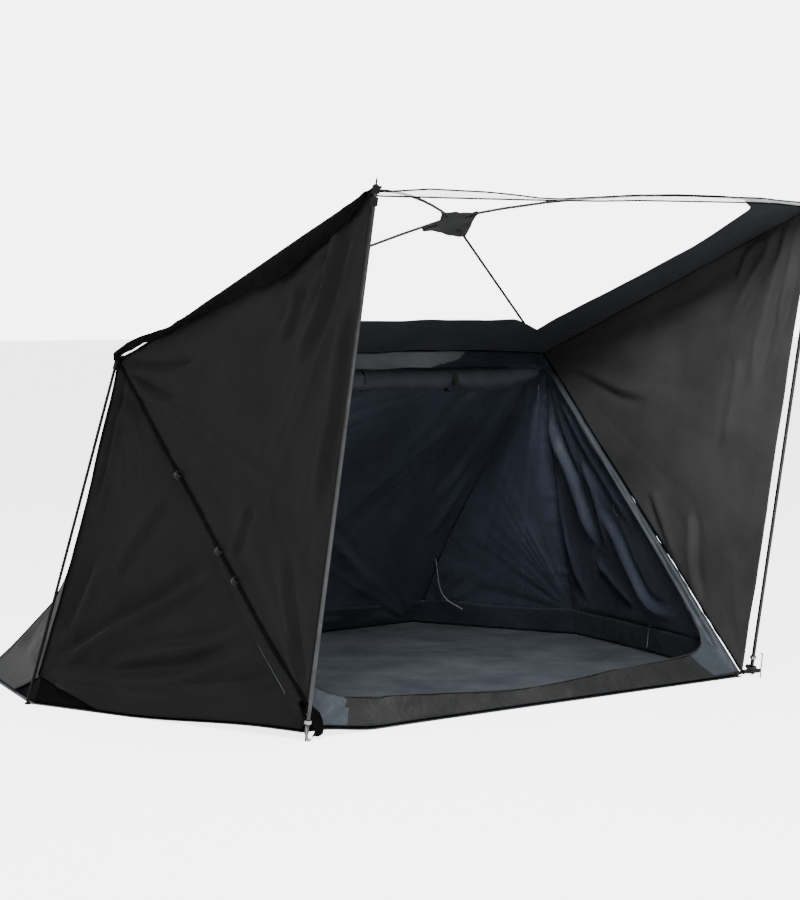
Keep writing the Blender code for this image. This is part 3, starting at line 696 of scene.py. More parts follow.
def back_wall():
    low = [at_height(REAR[s], RIDGE[s], HEM_Z) for s in (0, 1)]
    points, faces = flat_cloth([(RIDGE[0], low[0], low[1]), (RIDGE[0], low[1], RIDGE[1])], 120)
    z = points[:, 2]
    edge = [rear_edge_x(s, z) for s in (0, 1)]
    ones = np.ones(len(points))
    pulled = [edge[s] - SIGN[s] * bow(points, s, ones) for s in (0, 1)]
    share = (points[:, 0] - edge[0]) / (edge[1] - edge[0])
    seams = [(REAR[0], RIDGE[0]), (REAR[1], RIDGE[1]), (RIDGE[0], RIDGE[1])]
    free = hold(points, seams, 0.12) * (0.25 + 0.75 * smooth(0.0, 0.08, z))
    height = fan(points, RIDGE[0], np.array([1.0, 0.5, -0.7]), N_BACK, 8, 0.5, 0.014, 101)
    height += fan(points, RIDGE[1], np.array([-1.0, 0.5, -0.7]), N_BACK, 8, 0.5, 0.014, 111)
    height += fan(points, REAR[1], np.array([-1.0, -0.3, 0.7]), N_BACK, 8, 0.35, 0.010, 121)
    height += billow(points, 131, 0.45, 0.010) - 0.012
    height += pleats(points, BACK_VIEW, BACK_FOLDS, 0.030, 0.016)
    height *= free
    height += creases(points, low[0], RIDGE[1] * 0 + low[1], 60, 0.05, 0.002, 133) * smooth(0.0, 0.05, z)
    moved = points + N_BACK * height[:, None] + drift(points)
    moved[:, 0] += pulled[0] + share * (pulled[1] - pulled[0]) - points[:, 0]
    moved = settle(moved)
    # Outer side: the dark cloth made lighter as painted sheen.
    thing = cloth("back_wall", moved, faces, N_BACK, [SHEEN_PAINTED_OUT, NAVY_IN])
    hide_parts("back_panel_lower", "back_panel_upper")
    declare(moved, faces, (2.44, 1.64))
    return thing


AWNING_EDGE = ((-0.005, -0.009, -0.007, -0.004), (0.012, 0.017, 0.012, 0.006))


def awning(s):
    """The triangle between the front pole, the eave and the seam down to the pole's foot."""
    foot = SEAM_FOOT[s]
    points, faces = flat_cloth([(RIDGE[s], TOP[s], foot)], 118)
    distance, share = line_distance(points, TOP[s], FRONT[s])
    back = np.interp(share, [0.0, 0.25, 0.62, 1.0], AWNING_EDGE[s])
    near = np.exp(-distance / 0.25)
    towards = unit(RIDGE[s] - lerp(TOP[s], FRONT[s], 0.5))
    seams = [(RIDGE[s], TOP[s]), (RIDGE[s], foot), (TOP[s], FRONT[s])]
    free = hold(points, seams[:2], 0.09) * (0.25 + 0.75 * smooth(0.0, 0.06, distance))
    strong = (1.0, 1.5)[s]
    height = strong * fan(points, TOP[s], FRONT[s] - TOP[s], N_AWNING[s], 9, 0.55, 0.006, 141 + s)
    height += fan(points, RIDGE[s], TOP[s] - RIDGE[s], N_AWNING[s], 8, 0.55, 0.006, 151 + s)
    height += fan(points, foot, RIDGE[s] - foot, N_AWNING[s], 8, 0.30, 0.005, 161)
    height += billow(points, 171 + s, 0.40, 0.006)
    folds = pleats(points, SIDE_VIEW, AWNING_FOLDS[s])
    gathers = creases(points, RIDGE[s], TOP[s], 50, 0.03, 0.0040, 181)
    gathers += creases(points, RIDGE[s], foot, 46, 0.03, 0.0035, 183)
    gathers += creases(points, TOP[s], FRONT[s], 40, 0.03, 0.0035, 187)
    total = height * free + folds * hold(points, seams, 0.04) + gathers * hold(points, seams, 0.02)
    moved = points + N_AWNING[s] * total[:, None] + drift(points) + towards * (back * near)[:, None]
    moved = settle(moved)
    looks = [DARK_OUT, NAVY_IN] if s == LEFT else [DARK_OUT, GREY_IN]
    thing = cloth("awning_wall_" + WORDS[s], moved, faces, N_AWNING[s], looks)
    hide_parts("awning_panel_" + WORDS[s])
    declare(moved, faces, (2.00, 1.50))
    return thing


# Roof


def on_roof(x, y, lift=0.0):
    """The point of the roof's plane over this plan position."""
    z = TOP[0][2] + (y - TOP[0][1]) * (RIDGE[0][2] - TOP[0][2]) / (RIDGE[0][1] - TOP[0][1])
    return np.stack([x, y, z * np.ones_like(x)], -1) + N_ROOF * lift


def eave_x(y):
    return RIDGE[1][0] + (TOP[1][0] - RIDGE[1][0]) * (RIDGE[1][1] - y) / (RIDGE[1][1] - TOP[1][1])


HEM_TOP = ((-1.178, 1.957), (-1.146, 1.946), (-1.034, 1.953), (-0.921, 1.961), (-0.654, 1.958), (-0.520, 1.952),
           (-0.386, 1.943), (-0.279, 1.942), (-0.060, 1.955), (0.144, 1.967), (0.478, 1.971), (0.829, 1.972),
           (0.937, 1.966), (1.178, 1.957))
HEM_LOW = ((-1.174, 1.936), (-1.151, 1.931), (-0.996, 1.932), (-0.700, 1.933), (-0.279, 1.936), (-0.060, 1.939),
           (0.144, 1.946), (0.620, 1.951), (0.829, 1.953), (0.937, 1.952), (1.174, 1.940))


def roof_sag(x, y):
    """The film's shallow sag between the eaves, its ripples, and the front edge's own line."""
    middle = np.clip(1 - (x / 1.15) ** 2, 0, 1)
    length = smooth(TOP[0][1], TOP[0][1] + 0.5, y) * smooth(BORDER_Y, BORDER_Y - 0.35, y)
    edge = np.interp(x, *zip(*HEM_TOP)) - TOP[0][2]
    front = smooth(TOP[0][1] + 0.40, TOP[0][1], y) * edge
    ripple = 0.003 * noise(x * 6, y * 4, 201) + 0.003 * noise(x * 5 + y * 9, y * 2.0 - x * 3, 207)
    return front - 0.016 * middle * length + middle * ripple


def front_hem():
    """The pale strip along the awning's front edge, between two dark seams."""
    x = np.linspace(-1.172, 1.172, 150)
    high = np.stack([x, x * 0 + TOP[0][1] - 0.001, np.interp(x, *zip(*HEM_TOP))], -1)
    low = np.stack([x, x * 0 + TOP[0][1] + 0.002, np.interp(x, *zip(*HEM_LOW))], -1)

    def shape(u, v):
        a, b = follow(high, u), follow(low, u)
        bulge = 0.003 * np.sin(math.pi * v) + 0.002 * noise(u * 60, v * 1.5, 203)
        return a + (b - a) * v[:, None] - np.array([0.0, 1.0, 0.0]) * bulge[:, None]

    points, faces = surface(shape, 160, 6)
    hem = cloth("awning_front_hem", points, faces, np.array([0.0, -1.0, 0.0]), [HEM_LOOK], 0.0008)
    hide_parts("roof_border_front")
    declare(points, faces, (2.36, mesh_area(points, faces) / 2.36))
    tube("front_hem_seam_top", high, 0.0030, DARK_TRIM)
    tube("front_hem_seam_low", low, 0.0030, DARK_TRIM)


def roof_part(name, outline_low, outline_high, columns, rows, looks, nodes, thick, flat, wave=0.0):
    """A roof sheet between two lines in plan, given as (x, y) points."""
    def shape(u, v):
        low, high = follow(outline_low, u), follow(outline_high, u)
        plan = low + (high - low) * v[:, None]
        points = on_roof(plan[:, 0], plan[:, 1], 0.0)
        lift = roof_sag(plan[:, 0], plan[:, 1]) + wave * noise(u * 14, v * 2, 205)
        return settle(points + N_ROOF * lift[:, None] + drift(points))

    points, faces = surface(shape, columns, rows)
    thing = cloth(name, points, faces, N_ROOF, looks, thick)
    if nodes:
        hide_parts(*nodes)
    declare(points, faces, flat)
    return thing


def roof():
    front = TOP[0][1]
    back = RIDGE[0][1]
    side = [(-eave_x(back), back), (eave_x(back), back)]
    inner_front = front + 0.022
    notch = [(-eave_x(BORDER_Y) + 0.0, BORDER_Y), (0.62, BORDER_Y), (0.66, BORDER_Y + 0.012),
             (0.85, -0.145), (0.875, -0.132), (eave_x(-0.132), -0.132)]
    roof_part("roof_band_rear", side, notch, 150, 26, [DARK_OUT, ROOF_IN],
              ["roof_border_rear"], CLOTH, (2.33, 0.40))
    hem = 0.026
    left_low = [(-eave_x(front), front), (-eave_x(BORDER_Y), BORDER_Y)]
    left_high = [(hem - eave_x(front), front), (hem - eave_x(BORDER_Y), BORDER_Y)]
    roof_part("roof_hem_left", left_low, left_high, 90, 5, [DARK_OUT, ROOF_IN],
              ["roof_border_left"], CLOTH, (0.0265, 1.285))
    right_low = [(eave_x(front), front), (eave_x(-0.132), -0.132)]
    right_high = [(0.771, front), (0.771, front + 0.026), (0.790, front + 0.036), (0.860, front + 0.072),
                  (0.872, front + 0.090), (0.885, -1.032), (0.857, -0.461), (0.872, -0.132)]
    roof_part("roof_border_wide", right_low, right_high, 110, 20, [DARK_OUT, ROOF_IN],
              ["roof_border_right"], CLOTH, (0.42, 1.42))
    film_low = [(hem - eave_x(front), front + 0.001), (0.771, front + 0.001)]
    film_high = [(hem - eave_x(BORDER_Y), BORDER_Y), (0.62, BORDER_Y), (0.66, BORDER_Y + 0.012),
                 (0.85, -0.145), (0.872, -0.134)]
    roof_part("roof_clear_sheet", film_low, film_high, 130, 80, [FILM_LOOK],
              ["roof_film"], 0.0006, (2.06, 1.31))
    front_hem()


FLAP_DROP = ((0.0, 0.030), (0.03, 0.048), (0.11, 0.076), (0.20, 0.087), (0.31, 0.110), (0.43, 0.077),
             (0.55, 0.057), (0.70, 0.036), (0.86, 0.020), (1.0, 0.016))


FLAP_HUMP = 0.048


def eave_flap(s):
    """The loose, crumpled flap along the eave."""
    length = np.linalg.norm(TOP[s] - RIDGE[s])

    def shape(u, v):
        along = TOP[s] + (RIDGE[s] - TOP[s]) * (0.012 + 0.992 * u)[:, None]
        drop = np.interp(u, *zip(*FLAP_DROP)) + 0.004 * noise(u * 21, u * 0, 211 + s)
        loose = np.sin(math.pi * v**0.8)
        out = 0.005 + 0.016 * loose + 0.010 * noise(u * 30, v * 2.0, 213 + s) * v
        out += 0.009 * noise(u * 70, v * 4, 215 + s) * v + 0.010 * v
        down = drop * v + 0.008 * noise(u * 26, v * 1.5, 217 + s) * loose
        down -= FLAP_HUMP * smooth(0.74, 0.95, u) * (1 - 0.5 * v)
        return along + N_AWNING[s] * np.maximum(out, 0.003)[:, None] - np.array([0, 0, 1.0]) * down[:, None]

    points, faces = surface(shape, 250, 18)
    thing = cloth("eave_flap_cloth_" + WORDS[s], points, faces, N_AWNING[s], [DARK_TRIM, DARK_TRIM])
    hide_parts("eave_flap_" + WORDS[s])
    declare(points, faces, (length * 0.99, mesh_area(points, faces) / (length * 0.99)))


# Floor


def floor():
    outline = [FRONT[0], SIDE[0], REAR[0], REAR[1], SIDE[1], FRONT[1]]
    outline = [p * np.array([0.9995, 0.9995, 0]) for p in outline]
    centre = np.array([0.0, 0.1, 0.0])
    pairs = list(zip(outline, outline[1:] + outline[:1]))
    points, faces = flat_cloth([(centre, a, b) for a, b in pairs], 64)
    edge = hold(points, pairs, 0.08)
    x, y = points[:, 0], points[:, 1]
    along, across = 0.755 * x - 0.656 * y, 0.656 * x + 0.755 * y
    streak = noise(along * 1.6, across * 11, 221) + 0.7 * noise(along * 3.1 + 7, across * 23, 223)
    crumple = noise(x * 14, y * 14, 225) * smooth(0.5, 0.1, np.hypot(x + 0.9, y + 0.95))
    rise = 0.0045 + 0.0045 * streak * edge + 0.012 * np.abs(crumple) * edge
    moved = points.copy()
    moved[:, 2] = 0.0014 + np.clip(rise, 0.0, 0.02) * edge
    moved = settle(moved)
    thing = cloth("floor_sheet", moved, faces, np.array([0, 0, 1.0]), [FLOOR_LOOK])
    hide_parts("floor")
    declare(moved, faces, (2.99, 2.14))
    return thing


def tub():
    """The low wall that stands up from the floor's edge on five sides."""
    outline = [FRONT[0], SIDE[0], REAR[0], REAR[1], SIDE[1], FRONT[1]]
    shift = 0.017
    base = [p * np.array([1, 1, 0]) for p in outline]
    lean = [RIDGE[0] - SIDE[0], RIDGE[0] - SIDE[0], RIDGE[0] - REAR[0], RIDGE[1] - REAR[1],
            RIDGE[1] - SIDE[1], RIDGE[1] - SIDE[1]]
    lean[0], lean[5] = RIDGE[0] - FRONT[0], RIDGE[1] - FRONT[1]
    centre = np.array([0.0, 0.1, 0.0])

    def shape(u, v):
        low = follow(base, u)
        slope = lean_at(u)
        height = 0.0022 + v * (TUB_Z - 0.006 + 0.006 * noise(u * 30, u * 0, 231))
        inward = centre - low
        inward /= np.linalg.norm(inward, axis=1)[:, None]
        ripple = 0.0045 * noise(u * 150, v * 1.6, 233) + 0.003 * noise(u * 60, v * 2, 235)
        shift_in = shift + np.abs(ripple) * np.sin(math.pi * v * 0.9)
        stood = low + slope * height[:, None] + inward * shift_in[:, None]
        x, y, z = stood.T
        back_share = np.clip((y - SIDE[0][1]) / (REAR[0][1] - SIDE[0][1]), 0, 1) * np.minimum(np.abs(x) / REAR[1][0], 1)
        left, right = bow(stood, LEFT, back_share), bow(stood, RIGHT, back_share)
        stood[:, 0] += np.where(x < 0, left, -right)
        return settle(stood)

    base_array = np.array(base)
    lengths = np.concatenate([[0.0], np.cumsum(np.linalg.norm(np.diff(base_array, axis=0), axis=1))])
    slopes = np.array([l / l[2] for l in lean])

    def lean_at(u):
        at = u * lengths[-1]
        return np.stack([np.interp(at, lengths, slopes[:, k]) for k in range(3)], -1)

    points, faces = surface(shape, 420, 9)
    thing = cloth("floor_tub", points, faces, np.array([0, -1.0, 0.2]), [TUB_LOOK, DARK_TRIM], 0.001, 0.0)
    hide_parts("tub_left", "tub_rear_left", "tub_rear", "tub_rear_right", "tub_right")
    declare(points, faces, (lengths[-1], mesh_area(points, faces) / lengths[-1]))


# Door


def on_door(x, z, lift=0.0):
    """A point of the door's plane, with x and height given."""
    y = FRONT[0][1] + z * (RIDGE[0][1] - FRONT[0][1]) / RIDGE[0][2]
    return np.stack([x, y, z], -1) + N_DOOR * lift


SILL_TOP = [(-1.098, 0.60), (-1.086, 0.35), (-1.076, 0.22), (-1.055, 0.168), (-1.020, 0.143), (-0.970, 0.126),
            (-0.900, 0.112), (-0.570, 0.090), (-0.110, 0.062), (0.200, 0.066), (0.461, 0.080), (0.760, 0.087),
            (0.930, 0.096), (1.000, 0.112), (1.040, 0.136), (1.064, 0.175), (1.078, 0.24), (1.088, 0.36),
            (1.100, 0.60)]


def edge_x(z):
    return FRONT[1][0] + (RIDGE[1][0] - FRONT[1][0]) * z / RIDGE[1][2] - 0.006


def door_frame():
    """The strips of cloth down both sides of the doorway, and the sill that joins them."""
    top = 1.255
    inner = [(-(edge_x(top) - 0.036), top), *SILL_TOP, (edge_x(top) - 0.036, top)]
    inner = curve_through(inner, 260)
    outer = []
    for x, z in inner:
        side = smooth(0.84, 1.00, abs(x))
        low = np.array([x, HEM_Z])
        out = np.array([math.copysign(edge_x(z), x), z])
        corner = np.array([math.copysign(edge_x(HEM_Z), x), HEM_Z])
        if z > 0.30:
            outer.append(out)
        elif side > 0:
            turn = smooth(0.09, 0.30, z)
            outer.append(lerp(lerp(low, corner, side), out, turn))
        else:
            outer.append(low)
    outer = np.array(outer)

    def shape(u, v):
        i = u * (len(inner) - 1)
        a = np.stack([np.interp(i, np.arange(len(inner)), inner[:, k]) for k in (0, 1)], -1)
        b = np.stack([np.interp(i, np.arange(len(inner)), outer[:, k]) for k in (0, 1)], -1)
        plan = b + (a - b) * v[:, None]
        points = on_door(plan[:, 0], plan[:, 1])
        free = np.sin(math.pi * np.clip(v, 0, 1)) * 0.6 + 0.4 * v
        wrinkle = 0.007 * noise(plan[:, 0] * 9, plan[:, 1] * 22 + 3, 241)
        wrinkle += 0.005 * noise(plan[:, 0] * 26, plan[:, 1] * 34, 243)
        foot = np.hypot(plan[:, 0] + 1.19, plan[:, 1])
        angle = np.arctan2(plan[:, 1], plan[:, 0] + 1.19)
        wrinkle += 0.012 * noise(angle * 9, foot * 3, 245) * np.exp(-foot / 0.28)
        loose = points + N_DOOR * (0.001 + wrinkle * free)[:, None] + drift(points)
        return lerp(settle(loose), lift_corner(loose), (smooth(0, 1, v) * (plan[:, 1] > 0.02))[:, None])

    points, faces = surface(shape, 300, 12)
    thing = cloth("door_frame", points, faces, N_DOOR, [FRAME_LOOK, STRIP_LOOK, NAVY_IN])
    middle = points[faces].mean(1)
    strip = (middle[:, 2] > 0.02) & (np.abs(middle[:, 0]) > 0.93 - 0.5 * (middle[:, 2] - 0.1))
    for face, is_strip in zip(thing.data.polygons, strip):
        face.material_index = int(is_strip)
    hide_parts("door_sill", "door_edge_left", "door_edge_right")
    declare(points, faces, (4.6, mesh_area(points, faces) / 4.6))
    tube("door_zip", lift_corner(on_door(inner[:, 0], inner[:, 1], 0.004)), 0.0022, GREY_IN)


def door_band():
    """The plain band across the top of the doorway, light on the side that shows."""
    def shape(u, v):
        x = (u - 0.5) * 2 * 1.146
        z = 1.257 + 0.062 * v + 0.004 * noise(u * 16, u * 0, 251)
        points = on_door(x, z)
        wrinkle = 0.004 * noise(u * 40, v * 1.2, 253) + 0.003 * noise(u * 90, v * 2, 255)
        return crown(points + N_DOOR * (0.002 + wrinkle * np.sin(math.pi * v))[:, None])

    points, faces = surface(shape, 180, 16)
    thing = cloth("door_head_band", points, faces, N_DOOR, [BAND_CLOTH, NAVY_IN])
    middle = points[faces].mean(1)
    dark = middle[:, 2] < 1.240 + 0.060 * smooth(0.15, 0.62, middle[:, 0]) + 0.080 * smooth(0.55, 0.80, middle[:, 0])
    for face, is_dark in zip(thing.data.polygons, dark):
        face.material_index = int(is_dark)
    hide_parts("door_band")
    declare(points, faces, (2.292, mesh_area(points, faces) / 2.292))


ROLL_TURNS = 8
ROLL_HALF = 1.040
ROLL_RADIUS = 0.045
TIE_X = (-0.52, 0.52)


def roll_size(x):
    share = np.abs(x) / ROLL_HALF
    flare = 0.16 * np.exp(-(((np.abs(x) - 0.76) / 0.14) ** 2))
    size = ROLL_RADIUS * (1 - 0.06 * share - 0.55 * share**8 + flare)
    for tie in TIE_X:
        size = size * (1 - 0.30 * np.exp(-(((x - tie) / 0.035) ** 2)))
    return size


def roll_centre(x):
    lip = on_door(x * 0, x * 0 + 1.256)
    fall = roll_size(x) + 0.006
    sag = 0.010 * np.cos(math.pi * x / 0.52) * (np.abs(x) < 0.52) * 0.5
    centre = lip + np.array([0.0, -0.30, -0.954]) * (fall - sag)[:, None]
    centre[:, 0] = x
    return crown(centre)


def door_roll():
    """The door, rolled up as one long sheet and held by two ties."""
    def shape(u, v):
        x = (u - 0.5) * 2 * ROLL_HALF
        x = x + 0.018 * noise(v * 7, u * 0, 261) * np.sign(x)
        turn = v * ROLL_TURNS
        angle = 2 * math.pi * turn + 1.7
        radius = roll_size(x) * (1.0 - 0.105 * turn)
        lumps = 1 + 0.10 * noise(x * 9 + turn * 0.2, np.cos(angle) * 1.2 + 3, 263) + 0.05 * noise(
            x * 30, np.sin(angle) * 2 + turn * 0.3, 265)
        centre = roll_centre(x)
        radius = radius * lumps
        offset = np.stack([0 * x, np.cos(angle) * radius, np.sin(angle) * radius * 1.0], -1)
        return centre + offset

    points, faces = surface(shape, 150, ROLL_TURNS * 26)
    thing = make("rolled_door", points, faces, [ROLL_LOOK])
    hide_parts("door_roll")
    declare(points, faces, (2 * ROLL_HALF, mesh_area(points, faces) / (2 * ROLL_HALF)))


# Seams and trims


def seam_line(a, b, count=80):
    route = a + np.outer(np.linspace(0, 1, count), b - a)
    return route + drift(route)


def seams():
    for s in (0, 1):
        route = seam_line(SEAM_FOOT[s], RIDGE[s])
        lift = unit(N_LOW[s] + N_AWNING[s])
        wander = 0.0025 * noise(np.linspace(0, 40, len(route)), np.zeros(len(route)), 271 + s)
        tube("diagonal_piping_" + WORDS[s], settle(route + lift * (0.003 + wander)[:, None]), 0.0070, DARK_TRIM)
        leg = seam_line(at_height(SIDE[s], RIDGE[s], HEM_RAISED), RIDGE[s])
        leg = leg + leg_bow(leg, s)
        tube("leg_piping_" + WORDS[s], settle(leg + unit(N_LOW[s] + N_REAR[s]) * 0.002), 0.0040, DARK_TRIM)
        edge = seam_line(at_height(REAR[s], RIDGE[s], HEM_Z), RIDGE[s])
        edge[:, 0] -= SIGN[s] * bow(edge, s, np.ones(len(edge)))
        tube("rear_piping_" + WORDS[s], settle(edge + unit(N_BACK + N_REAR[s]) * 0.001), 0.0036, DARK_TRIM)
        eave = seam_line(RIDGE[s], TOP[s])
        tube("eave_piping_" + WORDS[s], eave, 0.0036, DARK_TRIM)
    ridge = seam_line(RIDGE[0], RIDGE[1], 120)
    tube("ridge_piping", settle(ridge), 0.0036, DARK_TRIM)


# Hub pad

HUB = np.array([-0.010, -0.545, 1.895])
PAD_OUTLINE = ((-0.122, -0.086), (-0.030, -0.091), (0.067, -0.096), (0.088, -0.045), (0.120, 0.011),
               (0.160, 0.085), (0.183, 0.121), (0.172, 0.139), (0.099, 0.134), (0.035, 0.111), (-0.024, 0.093),
               (-0.061, 0.097), (-0.083, 0.091), (-0.104, 0.069), (-0.108, 0.044), (-0.070, 0.034),
               (-0.064, 0.015), (-0.074, -0.012), (-0.100, -0.050))
PAD_SLEEVES = ((-0.113, -0.080), (0.062, -0.088), (0.172, 0.126), (-0.088, 0.066))


def pad_spot(u, v, lift):
    along = np.array([0.0, N_ROOF[2], -N_ROOF[1]])
    return HUB + np.outer(u, np.array([1.0, 0.0, 0.0])) + np.outer(v, along) + np.outer(lift, N_ROOF)


def hub_pad():
    """The four-cornered cloth pad under the hub. Each corner is a sleeve for one roof pole."""
    rim = np.array(PAD_OUTLINE + PAD_OUTLINE[:1])
    rim = np.vstack([curve_through(rim[i : i + 2], 8)[:-1] for i in range(len(rim) - 1)])
    rim = np.vstack([rim, rim[:1]])

    def shape(u, v):
        edge = follow(rim, v)
        plan = edge * u[:, None]
        reach = np.hypot(plan[:, 0], plan[:, 1])
        lift = -0.0135 - 0.06 * reach**2 + 0.003 * noise(plan[:, 0] * 26, plan[:, 1] * 26, 281) * u
        return pad_spot(plan[:, 0], plan[:, 1], lift)

    points, faces = surface(shape, 24, 97, True)
    thing = cloth("hub_pad_cloth", points, faces, N_ROOF, [PAD_LOOK, PAD_LOOK], 0.002)
    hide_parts("hub_pad")
    declare(points, faces, (0.335, 0.265))
    for i, (u, v) in enumerate(PAD_SLEEVES):
        size = math.hypot(u, v)
        shares = np.array([0.55, 0.75, 0.92, 1.04])
        route = pad_spot(u * shares, v * shares, -0.012 - 0.06 * (size * shares) ** 2)
        tube("hub_pad_sleeve_%d" % (i + 1), route, 0.0085, DARK_TRIM)


# Small fittings


def loop(name, at, out, down, width, reach, look):
    """A folded webbing loop sewn into a seam at a point."""
    half = unit(down) * width / 2
    route = [at - half * 0.5, at + out * reach * 0.5 - half, at + out * reach, at + out * reach * 0.5 + half,
             at + half * 0.5]
    return ribbon(name, curve_through(route, 24), np.cross(out, unit(down)), 0.020, look)


def on_wall(s, y, z, lift):
    """A point of the lower side wall's plane, with y and height given."""
    n, at = N_LOW[s], RIDGE[s]
    x = at[0] - (n[1] * (y - at[1]) + n[2] * (z - at[2])) / n[0]
    return np.array([x, y, z]) + n * lift


def hanging(name, top, length, width, look, lean=(0.0, 0.0, 0.0), across=(0.66, 0.75, 0.0)):
    """A short tape or puller that hangs from a point."""
    shares = np.linspace(0, 1, 8)[:, None]
    route = np.asarray(top) + shares * np.array([0.0, 0.0, -length]) + shares**2 * np.asarray(lean)
    return ribbon(name, route, across, width, look, 10)


TAB_AT = (0.345, 0.565, 0.650)


def fittings():
    for s in (0, 1):
        for i, share in enumerate(TAB_AT):
            at = settle(lerp(RIDGE[s], SEAM_FOOT[s], share)[None, :])[0]
            down = unit(SEAM_FOOT[s] - RIDGE[s])
            out = unit(N_LOW[s] + N_AWNING[s])
            loop("seam_loop_%s_%d" % (WORDS[s], i + 1), at + out * 0.004, out, down, 0.030, 0.020, STRAP_LOOK)
    inner = -0.012
    hanging("puller_ridge", on_wall(RIGHT, 0.140, 1.190, inner - 0.03), 0.068, 0.016, TAG_LOOK)
    hanging("loop_tag", on_wall(RIGHT, -0.300, 0.672, inner - 0.02), 0.055, 0.014, TAG_LOOK, (0.0, -0.03, 0.0))
    hanging("puller_low_left", on_wall(RIGHT, -0.440, 0.128, -0.045), 0.088, 0.012, TAG_LOOK, (0.0, 0.01, 0.0))
    hanging("puller_low_right", on_wall(RIGHT, -0.700, 0.120, -0.045), 0.066, 0.012, TAG_LOOK, (0.0, 0.02, 0.0))
    rail = [on_wall(RIGHT, y, z, -0.040) for y, z in ((-0.440, 0.140), (-0.520, 0.137), (-0.620, 0.134), (-0.720, 0.131))]
    tube("zip_rail_low", curve_through(rail, 16), 0.0028, TAG_LOOK)
    corner_zip = [(0.858, 0.420), (0.850, 0.350), (0.862, 0.215), (0.842, 0.150), (0.770, 0.105)]
    route = []
    for y, z in corner_zip:
        n, at = N_REAR[1], RIDGE[1]
        x = at[0] - (n[1] * (y - at[1]) + n[2] * (z - at[2])) / n[0]
        route.append(np.array([x, y, z]) - n * 0.050)
    tube("corner_zip", curve_through(route, 40), 0.0022, TAG_LOOK)
    for s in (0, 1):
        head = TOP[s] + np.array([0.0, -0.0145, -0.012])
        rise = unit(TOP[s] - FRONT[s])
        clip = [head - rise * 0.006, head + rise * 0.006, head + rise * 0.007, head + rise * 0.020]
        tube("pole_head_clip_" + WORDS[s], clip, 0.0145, PLASTIC_LOOK, sides=16)
        arm = [head + rise * 0.012, head + rise * 0.012 + np.array([-SIGN[s] * 0.026, 0.006, 0.004])]
        tube("pole_head_arm_" + WORDS[s], arm, 0.0055, PLASTIC_LOOK)

    foot, knot = FRONT[0] + np.array([0.0, -0.016, 0.0]), 0.100
    tip = [foot + np.array([0.004, 0.000, 0.098]), foot + np.array([-0.004, -0.010, 0.050]),
           foot + np.array([-0.010, -0.020, 0.014]), foot + np.array([-0.006, -0.024, 0.006]),
           foot + np.array([0.004, -0.024, 0.012])]
    tube("foot_pin_left", curve_through(tip, 30), 0.0042, BRIGHT_STEEL)
    corner = settle(FRONT[1][None, :])[0] + np.array([0.0, 0.0, 0.012])
    pole = FRONT[1] + np.array([0.0, -0.014, 0.022])
    strap = [corner + np.array([-0.030, 0.012, 0.000]), lerp(corner, pole, 0.5) + np.array([0, -0.01, 0.006]),
             pole + np.array([0.014, -0.012, 0.002]), pole + np.array([0.020, 0.008, 0.006]),
             pole + np.array([-0.006, 0.016, 0.010]), pole + np.array([-0.014, -0.008, 0.000]),
             lerp(corner, pole, 0.6) + np.array([0, -0.03, -0.006])]
    tube("corner_strap_right", curve_through(strap, 60), 0.0075, STRAP_LOOK)


def corner_pouch():
    """The reinforced cloth corner that the left pole's ring is tied to."""
    foot = FRONT[0]

    def shape(u, v):
        angle = lerp(-0.35, 1.75, u)
        reach = 0.105 * (0.35 + 0.65 * v) * (1 + 0.10 * noise(u * 5, v * 2, 291))
        x = foot[0] - 0.006 + reach * np.cos(angle) * 0.9
        y = foot[1] - 0.030 + 0.035 * v + 0.010 * noise(u * 7, v * 3, 293)
        z = 0.028 + np.maximum(reach * np.sin(angle), -0.015) * 1.1
        return np.stack([x, y, z], -1)

    points, faces = surface(shape, 26, 12)
    thing = cloth("corner_pouch_left", points, faces, np.array([0.0, -1.0, 0.2]), [DARK_TRIM, DARK_TRIM],
                  0.002)
    declare(points, faces, (0.20, mesh_area(points, faces) / 0.20))


# Frame pieces kept from the CAD model


def finish_nodes():
    looks = {
        "roof_hub": PLASTIC_LOOK, "ridge_elbow": PLASTIC_LOOK, "leg_shoe": PLASTIC_LOOK,
        "pole_bracket": PLASTIC_LOOK, "roof_pole": POLE_LOOK, "rear_leg": POLE_LOOK,
        "front_pole": STEEL_LOOK, "foot_ring": BRIGHT_STEEL, "peg_right": BRIGHT_STEEL,
        "peg_strap": STRAP_LOOK, "door_tie": STRAP_LOOK,
    }
    for name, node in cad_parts.items():
        for start, look in looks.items():
            if name.startswith(start):
                node.data.materials.clear()
                node.data.materials.append(look)


# Camera, floor and light

CAMERA_AT = (-6.7507, -7.9910, 1.6080)
CAMERA_DOWN = 3.6537
CAMERA_TURN = -40.9943
FOCAL_PIXELS = 2500
IMAGE_WIDTH = 800


def camera():
    data = bpy.data.cameras.new("camera")
    data.sensor_fit = "HORIZONTAL"
    data.sensor_width = 36
    data.lens = 36 * FOCAL_PIXELS / IMAGE_WIDTH
    thing = bpy.data.objects.new("camera", data)
    thing.location = CAMERA_AT
    thing.rotation_euler = (math.radians(90 - CAMERA_DOWN), 0, math.radians(CAMERA_TURN))
    bpy.context.scene.collection.objects.link(thing)
    bpy.context.scene.camera = thing


def area_light(name, place, aim, size, power, colour=(1, 1, 1)):
    data = bpy.data.lights.new(name, "AREA")
    data.size = size
    data.energy = power
    data.color = colour
    thing = bpy.data.objects.new(name, data)
    thing.location = place
    thing.rotation_euler = (Vector(aim) - Vector(place)).to_track_quat("-Z", "Y").to_euler()
    bpy.context.scene.collection.objects.link(thing)


WORLD_LIGHT = 0.42
BACKDROP = 6.0


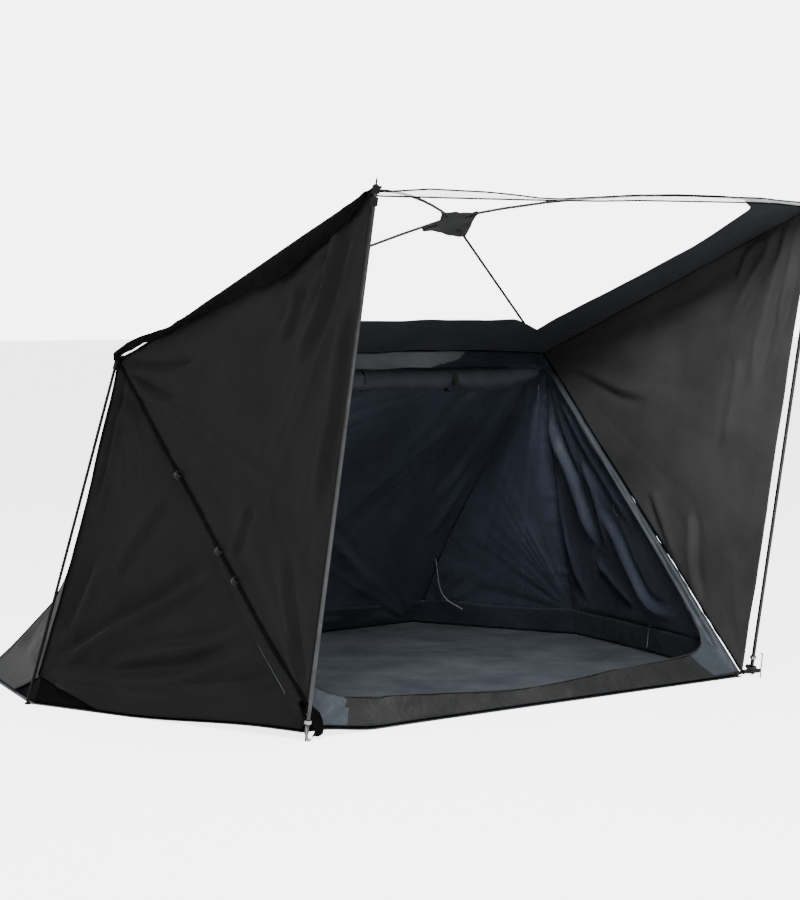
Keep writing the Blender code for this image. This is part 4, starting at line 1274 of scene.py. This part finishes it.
def studio():
    world = bpy.data.worlds.new("studio")
    world.use_nodes = True
    nodes, links = world.node_tree.nodes, world.node_tree.links
    nodes["Background"].inputs["Color"].default_value = (1, 1, 1, 1)
    nodes["Background"].inputs["Strength"].default_value = WORLD_LIGHT
    seen = nodes.new("ShaderNodeBackground")
    seen.inputs["Strength"].default_value = BACKDROP
    seen.inputs["Color"].default_value = (1, 1, 1, 1)
    path = nodes.new("ShaderNodeLightPath")
    mix = nodes.new("ShaderNodeMixShader")
    links.new(path.outputs["Is Camera Ray"], mix.inputs["Fac"])
    links.new(nodes["Background"].outputs["Background"], mix.inputs[1])
    links.new(seen.outputs["Background"], mix.inputs[2])
    links.new(mix.outputs["Shader"], nodes["World Output"].inputs["Surface"])
    bpy.context.scene.world = world
    look, nodes, links, shader = new_look("studio_floor", (0.88, 0.88, 0.88), 0.9, 0.0)
    path = nodes.new("ShaderNodeLightPath")
    shader.inputs["Emission Color"].default_value = (1, 1, 1, 1)
    scale = nodes.new("ShaderNodeMath")
    scale.operation = "MULTIPLY"
    scale.inputs[1].default_value = 3.5
    links.new(path.outputs["Is Camera Ray"], scale.inputs[0])
    links.new(scale.outputs["Value"], shader.inputs["Emission Strength"])
    mesh = bpy.data.meshes.new("studio_floor")
    far = 60.0
    mesh.from_pydata([(-far, -far, 0), (far, -far, 0), (far, far, 0), (-far, far, 0)], [], [(0, 1, 2, 3)])
    mesh.materials.append(look)
    ground = bpy.data.objects.new("studio_floor", mesh)
    ground.location.z = -0.0006
    bpy.context.scene.collection.objects.link(ground)
    area_light("key", (-3.5, -5.5, 7.0), (0, 0, 0.6), 3.0, 1100)
    area_light("top", (0.5, -2.0, 8.0), (0, 0, 0.6), 4.0, 450)
    area_light("left", (-7.0, 2.5, 4.5), (-0.8, 0, 0.7), 3.0, 260)


camera()
studio()
floor()
tub()
for s in (LEFT, RIGHT):
    side_wall(s)
    rear_wall(s)
    awning(s)
    eave_flap(s)
back_wall()
roof()
door_frame()
door_band()
door_roll()
seams()
hub_pad()
fittings()
corner_pouch()
finish_nodes()
